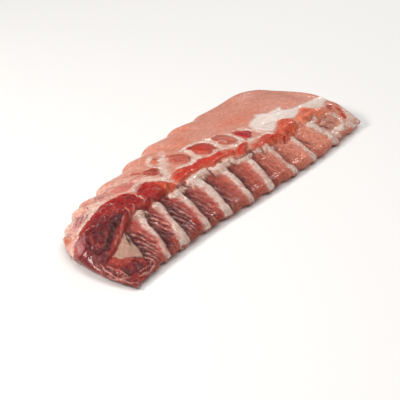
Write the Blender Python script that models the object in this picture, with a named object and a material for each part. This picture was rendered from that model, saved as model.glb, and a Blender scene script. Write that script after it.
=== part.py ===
# A raw rack of back ribs, lying bone side up.
# One slab of meat carries nine rib bones and the broad end of the first rib.
# The slab is a low roof: its crest is the line where the backbone was cut away,
# the near slope carries the ribs down to the sawn edge, and the far slope is the
# loin meat, which ends in a rounded, lobed outline.
# Axes: +X along the rack, -Y the sawn rib ends, +Y the loin side, +Z up.
# The origin is the middle of the box around the rack, on its flat underside.
import math
import bpy
import bmesh
import numpy as np

MM = 0.001

# ---- named sizes, all in millimetres ------------------------------------
# Stations along the rack: x, foot of the sawn edge, height of that edge,
# crest line, crest height, far outline, height of the far shoulder.
STATIONS = np.array([
    [-225, -52.0, 5.0, 8.0, 22.0, 46.0, 12.0],
    [-190, -49.5, 9.0, 8.0, 31.5, 57.0, 14.5],
    [-140, -49.0, 10.5, 3.0, 33.5, 72.5, 18.0],
    [-80, -51.5, 10.0, -1.0, 32.5, 78.5, 21.0],
    [-20, -58.0, 9.5, -7.0, 31.0, 84.5, 23.0],
    [50, -64.0, 9.0, -21.0, 29.0, 88.0, 25.5],
    [120, -68.0, 8.5, -26.0, 27.5, 82.5, 28.5],
    [180, -67.5, 9.0, -31.0, 26.0, 75.5, 31.0],
    [222, -67.0, 9.0, -36.0, 23.0, 62.0, 29.0]], float)
# Lobes of the loin's outline: start, end, bulge.
FAR_LOBES = [(-200, -163, 1.5), (-163, -118, 2.5), (-118, -60, 2.5),
             (-60, 18, 5.0), (18, 112, 4.0), (112, 196, 1.0)]
# The two cut ends in plan, from the sawn edge (0) to the loin side (1).
LEFT_END = [(0.0, -225, -57.5), (0.12, -228, -46), (0.3, -230, -24), (0.5, -227.5, 2),
            (0.7, -219.5, 26), (0.85, -209, 42), (1.0, -196, 54)]
RIGHT_END = [(0.0, 218, -71.5), (0.12, 221, -58), (0.3, 222, -34), (0.5, 223.5, -6),
             (0.68, 222, 20), (0.84, 214.5, 46), (1.0, 198, 70)]
NEAR_X = (-225.0, 218.0)      # ends of the sawn edge
FAR_X = (-196.0, 198.0)       # ends of the loin outline
SAW_UNDERCUT = 4.5            # the sawn edge leans out by this much at its top
FAR_RIM = 8.0                 # height at which the loin side is widest
FAR_TUCK = 7.0                # how far its foot is set in
END_TUCK = 3.5                # the same for the two ends
FAR_RADIUS = 17.0             # rounding of the far shoulder
LEFT_RADIUS = 22.0
RIGHT_RADIUS = 7.0
HOLLOW = 2.0                  # depth of the meat between two ribs
HOLLOW_START, HOLLOW_WIDTH = 5.0, 7.0

# Raised muscles along the crest: centre line in plan, half width, rise.
MUSCLES = [
    ([(-204, 14), (-172, 20), (-132, 26), (-100, 18)], 22.0, 3.0),
    ([(-104, 6), (-77, 3)], 12.0, 3.5),
    ([(-62, 10), (-22, 4), (18, -2), (31, -9)], 8.0, 3.5),
    ([(45, -4), (45, -16)], 6.5, 3.0),
    ([(56, -19), (96, -28)], 7.0, 2.5),
    ([(112, -26), (136, -22)], 10.0, 3.0),
    ([(150, -22), (182, -30)], 8.0, 2.5),
    ([(-214, -40), (-196, -47)], 11.0, 4.0),
]

# Ribs: evenly spaced stations from the upper end to the sawn end, each with
# x, y in plan and the bone's half width. The first one is the flat,
# wedge-shaped end of the first rib.
RIB_THICK = 7.5
WEDGE_THICK = 5.0
RIB_PROUD = 1.4               # how far the bone stands above the meat's face
RIBS = [
    ("rib_01", [(-178, -11, 3.5), (-190, -18, 8.0), (-203, -27, 11.5)]),
    ("rib_02", [(-144, -4, 6.0), (-152, -16, 5.0), (-156, -34, 5.0), (-165, -52, 5.0)]),
    ("rib_03", [(-116, -8, 5.0), (-121, -22, 4.5), (-127, -38, 6.0), (-135, -53, 8.5)]),
    ("rib_04", [(-83, -9, 6.5), (-85, -24, 5.5), (-89, -39, 5.0), (-94, -54, 7.0)]),
    ("rib_05", [(-49, -9, 8.0), (-48, -25, 6.5), (-53, -41, 7.0), (-58, -57, 8.0)]),
    ("rib_06", [(-9, -17, 7.0), (-9, -32, 5.5), (-14, -47, 5.5), (-19, -62, 5.0)]),
    ("rib_07", [(31, -24, 6.5), (28, -38, 6.0), (23, -51, 6.0), (17, -65, 5.5)]),
    ("rib_08", [(66, -30, 5.5), (65, -43, 5.0), (63, -56, 4.5), (64, -67.5, 6.0)]),
    ("rib_09", [(108, -37, 6.0), (107, -48, 5.0), (106, -59, 5.0), (105, -70, 5.5)]),
    ("rib_10", [(152, -41, 6.5), (152, -51, 5.0), (155, -61, 6.0), (157, -70, 6.5)]),
]
GAP = 0.35                    # clearance between a bone and its groove

GRID_U, GRID_V = 76, 24       # facets along and across the upper face
ORIGIN = (-3.2, 8.6)           # middle of the box around the slab, in these stations


# ---- curves ---------------------------------------------------------------
def cubic(x, xs, ys):
    """A smooth curve through a short table (Hermite, uneven stations)."""
    xs = np.asarray(xs, float)
    ys = np.asarray(ys, float)
    x = np.clip(np.asarray(x, float), xs[0], xs[-1])
    m = np.gradient(ys, xs, axis=0)
    i = np.clip(np.searchsorted(xs, x, side='right') - 1, 0, len(xs) - 2)
    h = xs[i + 1] - xs[i]
    t = (x - xs[i]) / h
    if ys.ndim == 2:
        t, h = t[..., None], h[..., None]
    return ((2*t**3 - 3*t**2 + 1)*ys[i] + (t**3 - 2*t**2 + t)*h*m[i]
            + (-2*t**3 + 3*t**2)*ys[i + 1] + (t**3 - t**2)*h*m[i + 1])


def smooth(t):
    t = np.clip(t, 0, 1)
    return t*t*(3 - 2*t)


def edge_round(d, r):
    """0 at the edge, 1 from a distance r inwards, along a quarter circle."""
    t = np.clip(d/r, 0, 1)
    return np.sqrt(np.clip(1 - (1 - t)**2, 0, 1))


def station(column, x):
    return cubic(x, STATIONS[:, 0], STATIONS[:, column])


def near_y(x):
    return station(1, x) - SAW_UNDERCUT


def far_y(x):
    y = station(5, x)
    for a, b, h in FAR_LOBES:
        y = y + h*np.sqrt(np.sin(np.pi*np.clip((x - a)/(b - a), 0, 1)).clip(0, 1))
    return y


def near_curve(u):
    x = NEAR_X[0] + (NEAR_X[1] - NEAR_X[0])*u
    y = near_y(x) + 0.9*np.sin(x/5.6 + 1.0)*np.sin(np.pi*u)**0.3 + 0.5*np.sin(x/2.9)
    return np.stack([x, y], -1)


def far_curve(u):
    x = FAR_X[0] + (FAR_X[1] - FAR_X[0])*u
    return np.stack([x, far_y(x)], -1)


def end_curve(table, v):
    table = np.asarray(table, float)
    return cubic(v, table[:, 0], table[:, 1:])


def plan(u, v):
    """The slab's outline filled as a Coons patch."""
    u, v = np.asarray(u, float), np.asarray(v, float)
    U, V = u[..., None], v[..., None]
    zero, one = np.array(0.0), np.array(1.0)
    c00, c10 = near_curve(zero), near_curve(one)
    c01, c11 = far_curve(zero), far_curve(one)
    return ((1 - V)*near_curve(u) + V*far_curve(u)
            + (1 - U)*end_curve(LEFT_END, v) + U*end_curve(RIGHT_END, v)
            - ((1 - U)*(1 - V)*c00 + U*(1 - V)*c10 + (1 - U)*V*c01 + U*V*c11))


def line_distance(x, y, line):
    best = np.full(np.shape(x), 1e9)
    for (ax, ay), (bx, by) in zip(line[:-1], line[1:]):
        dx, dy = bx - ax, by - ay
        t = np.clip(((x - ax)*dx + (y - ay)*dy)/(dx*dx + dy*dy), 0, 1)
        best = np.minimum(best, np.hypot(x - ax - t*dx, y - ay - t*dy))
    return best


# ---- the upper face -------------------------------------------------------
def roof(x, y):
    """The broad form: near slope, crest and far slope."""
    yn, zn = near_y(x), station(2, x)
    yr, zr = station(3, x), station(4, x)
    yf, zs = far_y(x), station(6, x)
    t = np.clip((y - yn)/(yr - yn), 0, 1.2)
    slope = zn + (zr - zn)*(1.12*t - 0.12*t**2)
    s = np.clip((y - yr)/(yf - yr), -0.3, 1)
    far = zr + (zs - zr)*smooth(s*1.05) - 1.5*np.exp(-((s - 0.22)/0.14)**2)
    k = 3.0
    return (-k*np.log(np.exp(-slope/k) + np.exp(-far/k))
            + 0.69*k*np.exp(-((y - yr)/10.0)**2))


def relief(x, y):
    """Muscles standing up along the crest, hollows between the ribs."""
    z = np.zeros(np.shape(x))
    for line, half, rise in MUSCLES:
        z = np.maximum(z, rise*smooth((half - line_distance(x, y, line))/(0.8*half)))
    d = np.full(np.shape(x), 1e9)
    for _name, line in RIBS:
        d = np.minimum(d, line_distance(x, y, [p[:2] for p in line]))
    t = (y - near_y(x))/(station(3, x) - near_y(x))
    band = smooth((t - 0.08)/0.2)*smooth((0.92 - t)/0.2)*smooth((x + 195)/20)*smooth((178 - x)/20)
    return z - HOLLOW*smooth((d - HOLLOW_START)/HOLLOW_WIDTH)*band


def top_height(u, v, x, y):
    z = roof(x, y) + relief(x, y)
    width = far_y(x) - near_y(x)
    z = FAR_RIM + (z - FAR_RIM)*edge_round((1 - v)*width, FAR_RADIUS)
    low = 5.0 + 4.0*smooth(v*1.4)
    z = low + (z - low)*edge_round(u*443 + 0.5, LEFT_RADIUS)
    low = 9.0 + 17.0*smooth(v*1.8) - 3.0*v
    return low + (z - low)*edge_round((1 - u)*443 + 0.3, RIGHT_RADIUS)


# ---- scene ------------------------------------------------------------------
for old in list(bpy.data.objects):
    bpy.data.objects.remove(old, do_unlink=True)

rack = bpy.data.collections.new("rack_of_ribs")
cutters = bpy.data.collections.new("cutters")
bpy.context.scene.collection.children.link(rack)
bpy.context.scene.collection.children.link(cutters)


def material(name, colour, roughness):
    mat = bpy.data.materials.new(name)
    mat.use_nodes = True
    bsdf = mat.node_tree.nodes["Principled BSDF"]
    bsdf.inputs["Base Color"].default_value = (*colour, 1.0)
    bsdf.inputs["Roughness"].default_value = roughness
    bsdf.inputs["Metallic"].default_value = 0.0
    mat.diffuse_color = (*colour, 1.0)
    return mat


def slab(name, collection):
    """A subdivided block, bent to the rack's form."""
    bm = bmesh.new()
    bmesh.ops.create_grid(bm, x_segments=GRID_U, y_segments=GRID_V, size=0.5)
    upper = list(bm.faces)
    for v in bm.verts:
        v.co.z = 1.0
    # two rows of facets down to the underside, then the underside itself
    side_rows = 2
    grown = bmesh.ops.extrude_face_region(bm, geom=upper)
    lower = [g for g in grown["geom"] if isinstance(g, bmesh.types.BMVert)]
    for v in lower:
        v.co.z = 0.0
    walls = [e for e in bm.edges if abs(e.verts[0].co.z - e.verts[1].co.z) > 0.5]
    bmesh.ops.subdivide_edges(bm, edges=walls, cuts=side_rows - 1, use_grid_fill=False)
    bmesh.ops.recalc_face_normals(bm, faces=bm.faces)
    # thin out the flat underside: keep every fourth row and column inside
    bm.verts.ensure_lookup_table()
    index = {}
    for f in bm.faces:
        if all(v.co.z < 0.01 for v in f.verts):
            c = f.calc_center_median()
            i = int((c.x + 0.5)*GRID_U)
            j = int((c.y + 0.5)*GRID_V)
            index.setdefault((i//4, j//4), []).append(f)
    for block in index.values():
        bmesh.ops.dissolve_faces(bm, faces=block, use_verts=False)
    spare = [v for v in bm.verts if v.co.z < 0.01 and len(v.link_edges) == 2]
    bmesh.ops.dissolve_verts(bm, verts=spare)

    verts = list(bm.verts)
    u = np.array([v.co.x for v in verts]) + 0.5
    v_ = np.array([v.co.y for v in verts]) + 0.5
    h = np.array([v.co.z for v in verts])
    p = plan(u, v_)
    x, y = p[:, 0], p[:, 1]
    z = top_height(u, v_, x, y)*h
    # the walls: the sawn edge leans in, the other three tuck under
    low = 1.0 - h
    foot = np.where(h > 0.75, 0.0, np.where(h < 0.25, 1.0, 0.30))
    y = y + SAW_UNDERCUT*low*(1 - v_)**6 - FAR_TUCK*foot*v_**6
    x = x + END_TUCK*foot*((1 - u)**10 - u**10)
    for k, vert in enumerate(verts):
        vert.co = (x[k]*MM, y[k]*MM, z[k]*MM)
    mesh = bpy.data.meshes.new(name)
    bm.to_mesh(mesh)
    bm.free()
    obj = bpy.data.objects.new(name, mesh)
    collection.objects.link(obj)
    return obj


def bone(name, line, grow, collection):
    """A rib: a round bar of many facets, laid along its stations on the
    slab's face and given an oval section."""
    first = name == "rib_01"
    thick = WEDGE_THICK if first else RIB_THICK
    line = np.asarray(line, float)
    at = np.linspace(0.0, 1.0, len(line))
    steps, sides = 8, 10
    bm = bmesh.new()
    bmesh.ops.create_cone(bm, cap_ends=True, cap_tris=False, segments=sides,
                          radius1=1.0, radius2=1.0, depth=1.0)
    rails = [e for e in bm.edges if abs(e.verts[0].co.z - e.verts[1].co.z) > 0.5]
    bmesh.ops.subdivide_edges(bm, edges=rails, cuts=steps + 1, use_grid_fill=False)
    # ring 0 is the upper end and ring steps the sawn end; the groove runs on
    for v in bm.verts:
        ring = int(round((v.co.z + 0.5)*(steps + 2))) - 1
        angle = math.atan2(v.co.y, v.co.x)
        f = min(max(ring/steps, 0.0), 1.0)
        cx, cy, half = cubic(f, at, line)
        ahead = cubic(min(f + 0.02, 1.0), at, line)[:2] - cubic(max(f - 0.02, 0.0), at, line)[:2]
        ahead = ahead/np.hypot(*ahead)
        deep = 0.5*thick
        if not first:
            round_off = 0.62 + 0.38*float(edge_round(f*45.0, 6.0))
            half, deep = half*round_off, deep*round_off
        z = float(roof(np.array(cx), np.array(max(cy, float(near_y(cx)) + 0.5)))) + RIB_PROUD - deep
        push = 0.0
        if ring < 0:
            push = -0.4 - grow
        elif ring > steps:
            push = 0.4 if not grow else (grow + 0.4 if first else 9.0)
        side = math.cos(angle)*(half + grow)
        v.co = ((cx + ahead[0]*push - ahead[1]*side)*MM,
                (cy + ahead[1]*push + ahead[0]*side)*MM,
                (z + math.sin(angle)*(deep + grow))*MM)
    bm.normal_update()
    bmesh.ops.recalc_face_normals(bm, faces=bm.faces)
    if bm.calc_volume(signed=True) < 0:
        bmesh.ops.reverse_faces(bm, faces=bm.faces)
    mesh = bpy.data.meshes.new(name)
    bm.to_mesh(mesh)
    bm.free()
    result = bpy.data.objects.new(name, mesh)
    collection.objects.link(result)
    return result


meat = slab("meat", rack)
meat.data.materials.append(material("raw_meat", (0.42, 0.13, 0.10), 0.42))
bone_mat = material("rib_bone", (0.66, 0.42, 0.34), 0.45)

for name, line in RIBS:
    groove = bone(name, line, GAP, cutters)
    groove.name = name + "_groove"
    groove.hide_render = True
    groove.display_type = 'WIRE'
    cut = meat.modifiers.new(name + "_groove", 'BOOLEAN')
    cut.operation = 'DIFFERENCE'
    cut.object = groove
    rib = bone(name, line, 0.0, rack)
    rib.data.materials.append(bone_mat)
    rib.data.shade_smooth()
    rib.data.set_sharp_from_angle(angle=math.radians(50))
    rib.location = (-ORIGIN[0]*MM, -ORIGIN[1]*MM, 0)
    groove.location = rib.location

meat.location = (-ORIGIN[0]*MM, -ORIGIN[1]*MM, 0)
meat.data.shade_smooth()
bpy.context.view_layer.update()
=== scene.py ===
import math
import bpy
import numpy as np
from mathutils import Matrix, Vector


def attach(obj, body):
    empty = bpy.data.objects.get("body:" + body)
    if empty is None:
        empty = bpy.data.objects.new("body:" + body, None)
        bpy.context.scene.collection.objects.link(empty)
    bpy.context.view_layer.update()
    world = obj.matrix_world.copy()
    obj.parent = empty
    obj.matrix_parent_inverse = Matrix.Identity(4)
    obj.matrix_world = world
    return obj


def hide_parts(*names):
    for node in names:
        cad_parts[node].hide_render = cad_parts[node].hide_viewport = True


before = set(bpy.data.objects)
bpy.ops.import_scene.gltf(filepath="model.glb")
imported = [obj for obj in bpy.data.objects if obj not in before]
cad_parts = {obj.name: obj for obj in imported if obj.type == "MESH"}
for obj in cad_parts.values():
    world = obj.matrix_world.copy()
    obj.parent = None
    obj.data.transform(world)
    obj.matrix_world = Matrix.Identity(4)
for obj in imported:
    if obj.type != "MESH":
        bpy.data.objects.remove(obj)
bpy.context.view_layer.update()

MM = 0.001

# ---- the slab's form, in millimetres, as in the solid model -----------------
STATIONS = np.array([
    [-225, -52.0, 5.0, 8.0, 22.0, 46.0, 12.0],
    [-190, -49.5, 9.0, 8.0, 31.5, 57.0, 14.5],
    [-140, -49.0, 10.5, 3.0, 33.5, 72.5, 18.0],
    [-80, -51.5, 10.0, -1.0, 32.5, 78.5, 21.0],
    [-20, -58.0, 9.5, -7.0, 31.0, 84.5, 23.0],
    [50, -64.0, 9.0, -21.0, 29.0, 88.0, 25.5],
    [120, -68.0, 8.5, -26.0, 27.5, 82.5, 28.5],
    [180, -67.5, 9.0, -31.0, 26.0, 75.5, 31.0],
    [222, -67.0, 9.0, -36.0, 23.0, 62.0, 29.0]], float)
FAR_LOBES = [(-186, -150, 4.0), (-158, -130, 6.0), (-139, -106, 4.6), (-105, -50, 6.2),
             (-50, -7, 6.5), (-7, 45, 7.0), (45, 92, 6.0), (92, 196, 4.6)]
LEFT_END = [(0.0, -225, -57.5), (0.12, -228, -46), (0.3, -230, -24), (0.5, -227, 3),
            (0.7, -219, 26), (0.85, -209, 40), (1.0, -196, 54.5)]
RIGHT_END = [(0.0, 218, -71.5), (0.12, 222, -58), (0.3, 224, -34), (0.5, 225, -6),
             (0.68, 218.5, 20), (0.84, 206, 45), (1.0, 191, 70)]
NEAR_X = (-225.0, 218.0)
FAR_X = (-196.0, 193.0)
SAW_UNDERCUT = 4.5
FAR_RIM, FAR_TUCK, END_TUCK = 8.0, 7.0, 3.5
FAR_RADIUS, LEFT_RADIUS, RIGHT_RADIUS = 17.0, 22.0, 7.0
ORIGIN = (-3.2, 8.6)

# Ribs: stations from the upper end to the sawn end: x, y, half width of what shows.
RIBS = [
    ("rib_01", [(-178, -11, 1.5), (-190, -18, 7.5), (-203, -27, 11.5)]),
    ("rib_02", [(-144, -4, 5.6), (-152, -16, 4.6), (-156, -34, 4.4), (-165, -52, 4.4)]),
    ("rib_03", [(-116, -8, 4.8), (-121, -22, 3.9), (-127, -38, 5.6), (-135, -53, 8.6)]),
    ("rib_04", [(-83, -9, 6.0), (-85, -24, 5.0), (-89, -39, 4.4), (-94, -54, 6.6)]),
    ("rib_05", [(-49, -9, 7.6), (-48, -25, 6.0), (-53, -41, 6.6), (-58, -57, 7.4)]),
    ("rib_06", [(-9, -17, 6.6), (-9, -32, 5.0), (-14, -47, 5.0), (-19, -62, 4.6)]),
    ("rib_07", [(31, -24, 6.0), (28, -38, 5.5), (23, -51, 5.6), (17, -65, 5.0)]),
    ("rib_08", [(66, -30, 5.0), (65, -43, 4.6), (63, -56, 4.0), (64, -67.5, 5.6)]),
    ("rib_09", [(108, -37, 5.4), (107, -48, 4.6), (106, -59, 4.5), (105, -70, 5.0)]),
    ("rib_10", [(152, -41, 6.0), (152, -51, 4.6), (155, -61, 5.6), (157, -70, 6.0)]),
]


# ---- small maths --------------------------------------------------------------
def cubic(x, xs, ys):
    xs = np.asarray(xs, float)
    ys = np.asarray(ys, float)
    x = np.clip(np.asarray(x, float), xs[0], xs[-1])
    m = np.gradient(ys, xs, axis=0)
    i = np.clip(np.searchsorted(xs, x, side='right') - 1, 0, len(xs) - 2)
    h = xs[i + 1] - xs[i]
    t = (x - xs[i]) / h
    if ys.ndim == 2:
        t, h = t[..., None], h[..., None]
    return ((2*t**3 - 3*t**2 + 1)*ys[i] + (t**3 - 2*t**2 + t)*h*m[i]
            + (-2*t**3 + 3*t**2)*ys[i + 1] + (t**3 - t**2)*h*m[i + 1])


def smooth(t):
    t = np.clip(t, 0, 1)
    return t*t*(3 - 2*t)


def step(a, b, t):
    return smooth((t - a)/(b - a))


def edge_round(d, r):
    t = np.clip(d/r, 0, 1)
    return np.sqrt(np.clip(1 - (1 - t)**2, 0, 1))


def station(column, x):
    return cubic(x, STATIONS[:, 0], STATIONS[:, column])


def near_y(x):
    return station(1, x) - SAW_UNDERCUT


def lobe_wave(x):
    """Overlapping lobes, each rising steeply at its left end and fading to the right."""
    y = np.zeros(np.shape(x))
    for a, b, h in FAR_LOBES:
        t = np.clip((x - a)/(b - a), 0, 1)
        y = y + h*edge_round(t*(b - a), 3.6)*(1 - t)**0.7
        if -110 < a < 30:
            y = y - 2.4*np.exp(-((x - a + 2.5)/3.5)**2)
    return y


def far_y(x):
    return station(5, x) + lobe_wave(x) - 0.4


def near_line(x):
    u = np.clip((x - NEAR_X[0])/(NEAR_X[1] - NEAR_X[0]), 0, 1)
    return near_y(x) + 0.9*np.sin(x/5.6 + 1.0)*np.sin(np.pi*u)**0.3 + 0.5*np.sin(x/2.9)


def near_curve(u):
    x = NEAR_X[0] + (NEAR_X[1] - NEAR_X[0])*u
    return np.stack([x, near_line(x)], -1)


def far_curve(u):
    x = FAR_X[0] + (FAR_X[1] - FAR_X[0])*u
    return np.stack([x, far_y(x)], -1)


def end_curve(table, v):
    table = np.asarray(table, float)
    return cubic(v, table[:, 0], table[:, 1:])


def plan(u, v):
    u, v = np.asarray(u, float), np.asarray(v, float)
    U, V = u[..., None], v[..., None]
    zero, one = np.array(0.0), np.array(1.0)
    c00, c10 = near_curve(zero), near_curve(one)
    c01, c11 = far_curve(zero), far_curve(one)
    return ((1 - V)*near_curve(u) + V*far_curve(u)
            + (1 - U)*end_curve(LEFT_END, v) + U*end_curve(RIGHT_END, v)
            - ((1 - U)*(1 - V)*c00 + U*(1 - V)*c10 + (1 - U)*V*c01 + U*V*c11))


def roof(x, y):
    yn, zn = near_y(x), station(2, x)
    yr, zr = station(3, x), station(4, x)
    yf, zs = far_y(x), station(6, x)
    t = np.clip((y - yn)/(yr - yn), 0, 1.2)
    slope = zn + (zr - zn)*(1.12*t - 0.12*t**2)
    s = np.clip((y - yr)/(yf - yr), -0.3, 1)
    far = zr + (zs - zr)*smooth(s*1.05) - 1.5*np.exp(-((s - 0.22)/0.14)**2)
    k = 3.0
    return (-k*np.log(np.exp(-slope/k) + np.exp(-far/k))
            + 0.69*k*np.exp(-((y - yr)/10.0)**2))


def near_rim(x, y, z):
    """The sawn edge is rounded over."""
    low = 0.42*station(2, x)
    return low + (z - low)*edge_round(np.clip(y - near_y(x), 0, None) + 0.3, 6.5)


def noise(x, y, seed=0):
    """Gradient noise, about -1 to 1."""
    ix, iy = np.floor(x).astype(np.int64), np.floor(y).astype(np.int64)
    fx, fy = x - ix, y - iy

    def corner(dx, dy):
        n = ((ix + dx)*374761393 + (iy + dy)*668265263 + seed*974634777) & 0xffffffff
        n = ((n ^ (n >> 13))*1274126177) & 0xffffffff
        a = (n ^ (n >> 16))*(2*math.pi/4294967296.0)
        return np.cos(a)*(fx - dx) + np.sin(a)*(fy - dy)
    wx = fx**3*(fx*(fx*6 - 15) + 10)
    wy = fy**3*(fy*(fy*6 - 15) + 10)
    a = corner(0, 0) + wx*(corner(1, 0) - corner(0, 0))
    b = corner(0, 1) + wx*(corner(1, 1) - corner(0, 1))
    return (a + wy*(b - a))*1.5


def fbm(x, y, size, octaves=3, seed=0, gain=0.5):
    total, amp, norm = 0.0, 1.0, 0.0
    x, y = (0.83*x - 0.56*y)/size, (0.56*x + 0.83*y)/size
    for k in range(octaves):
        total = total + amp*noise(x, y, seed + 17*k)
        norm += amp
        amp *= gain
        x, y = 2.0*(0.6*x - 0.8*y) + 3.7, 2.0*(0.8*x + 0.6*y) + 1.3
    return total/norm


def ridged(x, y, size, octaves=2, seed=0):
    return 1 - np.abs(fbm(x, y, size, octaves, seed))*2


def line_field(x, y, line):
    """Distance to a polyline, side of it, and how far along, 0 to 1."""
    pts = np.asarray(line, float)[:, :2]
    seg = np.hypot(*(pts[1:] - pts[:-1]).T)
    total = seg.sum()
    best = np.full(np.shape(x), 1e9)
    side = np.zeros(np.shape(x))
    along = np.zeros(np.shape(x))
    run = 0.0
    for (ax, ay), (bx, by), ln in zip(pts[:-1], pts[1:], seg):
        dx, dy = bx - ax, by - ay
        t = np.clip(((x - ax)*dx + (y - ay)*dy)/(ln*ln), 0, 1)
        d = np.hypot(x - ax - t*dx, y - ay - t*dy)
        hit = d < best
        best = np.where(hit, d, best)
        side = np.where(hit, ((x - ax)*dy - (y - ay)*dx)/ln, side)
        along = np.where(hit, (run + t*ln)/total, along)
        run += ln
    return best, side, along


def sdf(x, y, poly):
    """Signed distance to a closed outline, positive inside."""
    pts = np.asarray(poly, float)
    nxt = np.roll(pts, -1, 0)
    best = np.full(np.shape(x), 1e9)
    inside = np.zeros(np.shape(x), bool)
    for (ax, ay), (bx, by) in zip(pts, nxt):
        dx, dy = bx - ax, by - ay
        t = np.clip(((x - ax)*dx + (y - ay)*dy)/(dx*dx + dy*dy), 0, 1)
        best = np.minimum(best, np.hypot(x - ax - t*dx, y - ay - t*dy))
        cross = (ay > y) != (by > y)
        inside ^= cross & (x < ax + (y - ay)*dx/(dy if dy else 1e-9))
    return np.where(inside, best, -best)


def lin(r, g, b):
    """A colour given as 0 to 255, as the shader wants it."""
    c = np.array([r, g, b], float)/255
    return np.where(c <= 0.04045, c/12.92, ((c + 0.055)/1.055)**2.4)


# ---- tissues, in plan -----------------------------------------------------------
BIG_MUSCLE = [(-238, -20), (-238, 12), (-227, 18), (-217, 24), (-207, 31), (-196, 35), (-180, 38),
              (-165, 40), (-153, 44), (-143, 47), (-134, 45), (-126, 39), (-117, 40), (-111, 33),
              (-108, 27), (-99, 29), (-90, 34), (-81, 33), (-76, 20), (-73, 8), (-75, -4),
              (-88, -5), (-100, -2), (-112, -4), (-126, -3), (-142, 1), (-154, -2), (-166, -4),
              (-180, -9), (-200, -15), (-216, -18)]
HEART = [(-228, -16), (-226, 6), (-210, 19), (-194, 27), (-174, 26), (-156, 15), (-158, 2), (-172, -2), (-190, -9), (-212, -16)]
HEART_DARK = [(-222, -12), (-206, -3), (-190, 0), (-176, 8), (-170, 4), (-180, -3), (-196, -9), (-212, -15)]
RED_LOBE = [(-113, 2), (-112, 20), (-104, 28), (-90, 32), (-82, 30), (-77, 16), (-78, 0), (-92, -2)]
TIP = [(-93, -4), (-90, 6), (-85, 16), (-77, 19), (-73, 6), (-75, -5), (-84, -6)]
RIDGE_C = [(-69, 3), (-62, 11), (-50, 18), (-38, 21), (-28, 18), (-19, 13), (-8, 16), (2, 14),
           (11, 8), (24, 8), (33, 4), (36, -3), (34, -10), (25, -13), (18, -11), (8, -8), (0, -11),
           (-10, -11), (-18, -6), (-24, -2), (-36, -3), (-46, -2), (-58, -2), (-67, -2)]
RIDGE_D = [(20, -18), (29, -12), (42, -7), (53, -3), (62, -3), (61, -8), (50, -14), (40, -20), (29, -24)]
RIDGE_E = [(50, -21), (58, -16), (66, -18), (76, -15), (86, -14), (96, -18), (104, -21), (112, -29),
           (105, -39), (96, -39), (88, -32), (78, -30), (66, -31), (55, -28)]
RIDGE_F = [(100, -30), (109, -20), (120, -12), (133, -7), (142, -11), (141, -22), (136, -30),
           (128, -35), (118, -37), (108, -38)]
RIDGE_G = [(143, -35), (147, -23), (160, -17), (172, -11), (183, -9), (186, -16), (182, -24),
           (187, -32), (192, -40), (178, -39), (165, -34), (153, -36)]
CHUNK = [(-232, -44), (-222, -30), (-213, -22), (-202, -30), (-190, -40), (-190, -47), (-200, -54), (-232, -60)]
LENSES = [
    # outline, rim colour, core colour, reach of the rim, rise, softness, groove
    ([(-192, 46), (-184, 54), (-170, 61), (-160, 60), (-156, 52), (-166, 43), (-181, 41)],
     (232, 178, 168), (206, 142, 136), 5, 1.0, 1.6, 0.5),
    ([(-139, 53), (-131, 60), (-119, 66), (-111, 62), (-116, 54), (-128, 48)],
     (226, 170, 156), (208, 144, 132), 5, 1.0, 2.0, 0.5),
    ([(-118, 44), (-110, 60), (-92, 58), (-82, 48), (-84, 36), (-98, 32), (-110, 36)],
     (232, 162, 146), (210, 124, 112), 6, 0.9, 2.5, 0.4),
    ([(-35, 48), (-30, 47), (-24, 55), (-25, 61), (-31, 59)], (206, 110, 84), (196, 92, 70), 4, 1.0, 1.8, 0.5),
    ([(-60, 27), (-54, 33), (-47, 35), (-43, 39), (-46, 47), (-53, 52), (-62, 52), (-70, 60), (-66, 61),
      (-60, 55), (-62, 45), (-61, 36)], (190, 88, 72), (172, 60, 46), 5, 1.4, 1.2, 0.8),
    ([(-15, 54), (-6, 47), (0, 39), (0, 31), (-4, 25), (-10, 21), (-19, 22), (-26, 28), (-24, 37), (-18, 43)],
     (206, 112, 92), (190, 88, 70), 6, 1.5, 1.3, 0.9),
    ([(6, 41), (16, 43), (27, 41), (35, 35), (38, 26), (35, 16), (31, 9), (24, 10), (15, 14), (10, 22), (8, 31)],
     (188, 70, 52), (188, 50, 34), 6, 1.8, 1.0, 1.4),
    ([(43, 33), (52, 33), (60, 31), (66, 23), (67, 12), (65, 3), (62, -4), (55, 3), (50, 9), (46, 17), (44, 25)],
     (188, 96, 80), (196, 116, 98), 5, 1.4, 1.1, 1.2),
    ([(70, 25), (80, 20), (88, 12), (92, 6), (86, 1), (77, -4), (73, 0), (75, 8), (73, 16)],
     (190, 44, 46), (178, 24, 34), 3, 1.2, 0.9, 1.1),
    ([(97, 12), (104, 8), (110, -2), (108, -12), (103, -14), (101, -2)], (206, 140, 128), (190, 120, 112), 4, 0.6, 1.5, 0.5),
    ([(-202, 34), (-194, 40), (-190, 47), (-196, 54), (-206, 46)], (214, 124, 96), (206, 108, 82), 4, 1.0, 1.5, 0.6),
]
ORANGE_SPOTS = [(-143, 68, 8, 5), (-113, 70, 5, 4), (-60, 58, 6, 5), (58, 72, 11, 7), (103, 32, 12, 9),
                (112, 25, 6, 5), (176, 7, 14, 5), (-3, 62, 10, 9), (18, 52, 12, 6), (30, 62, 12, 10),
                (-88, 72, 8, 5), (-30, 66, 10, 6), (90, 40, 14, 8), (134, 30, 20, 6)]
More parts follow.
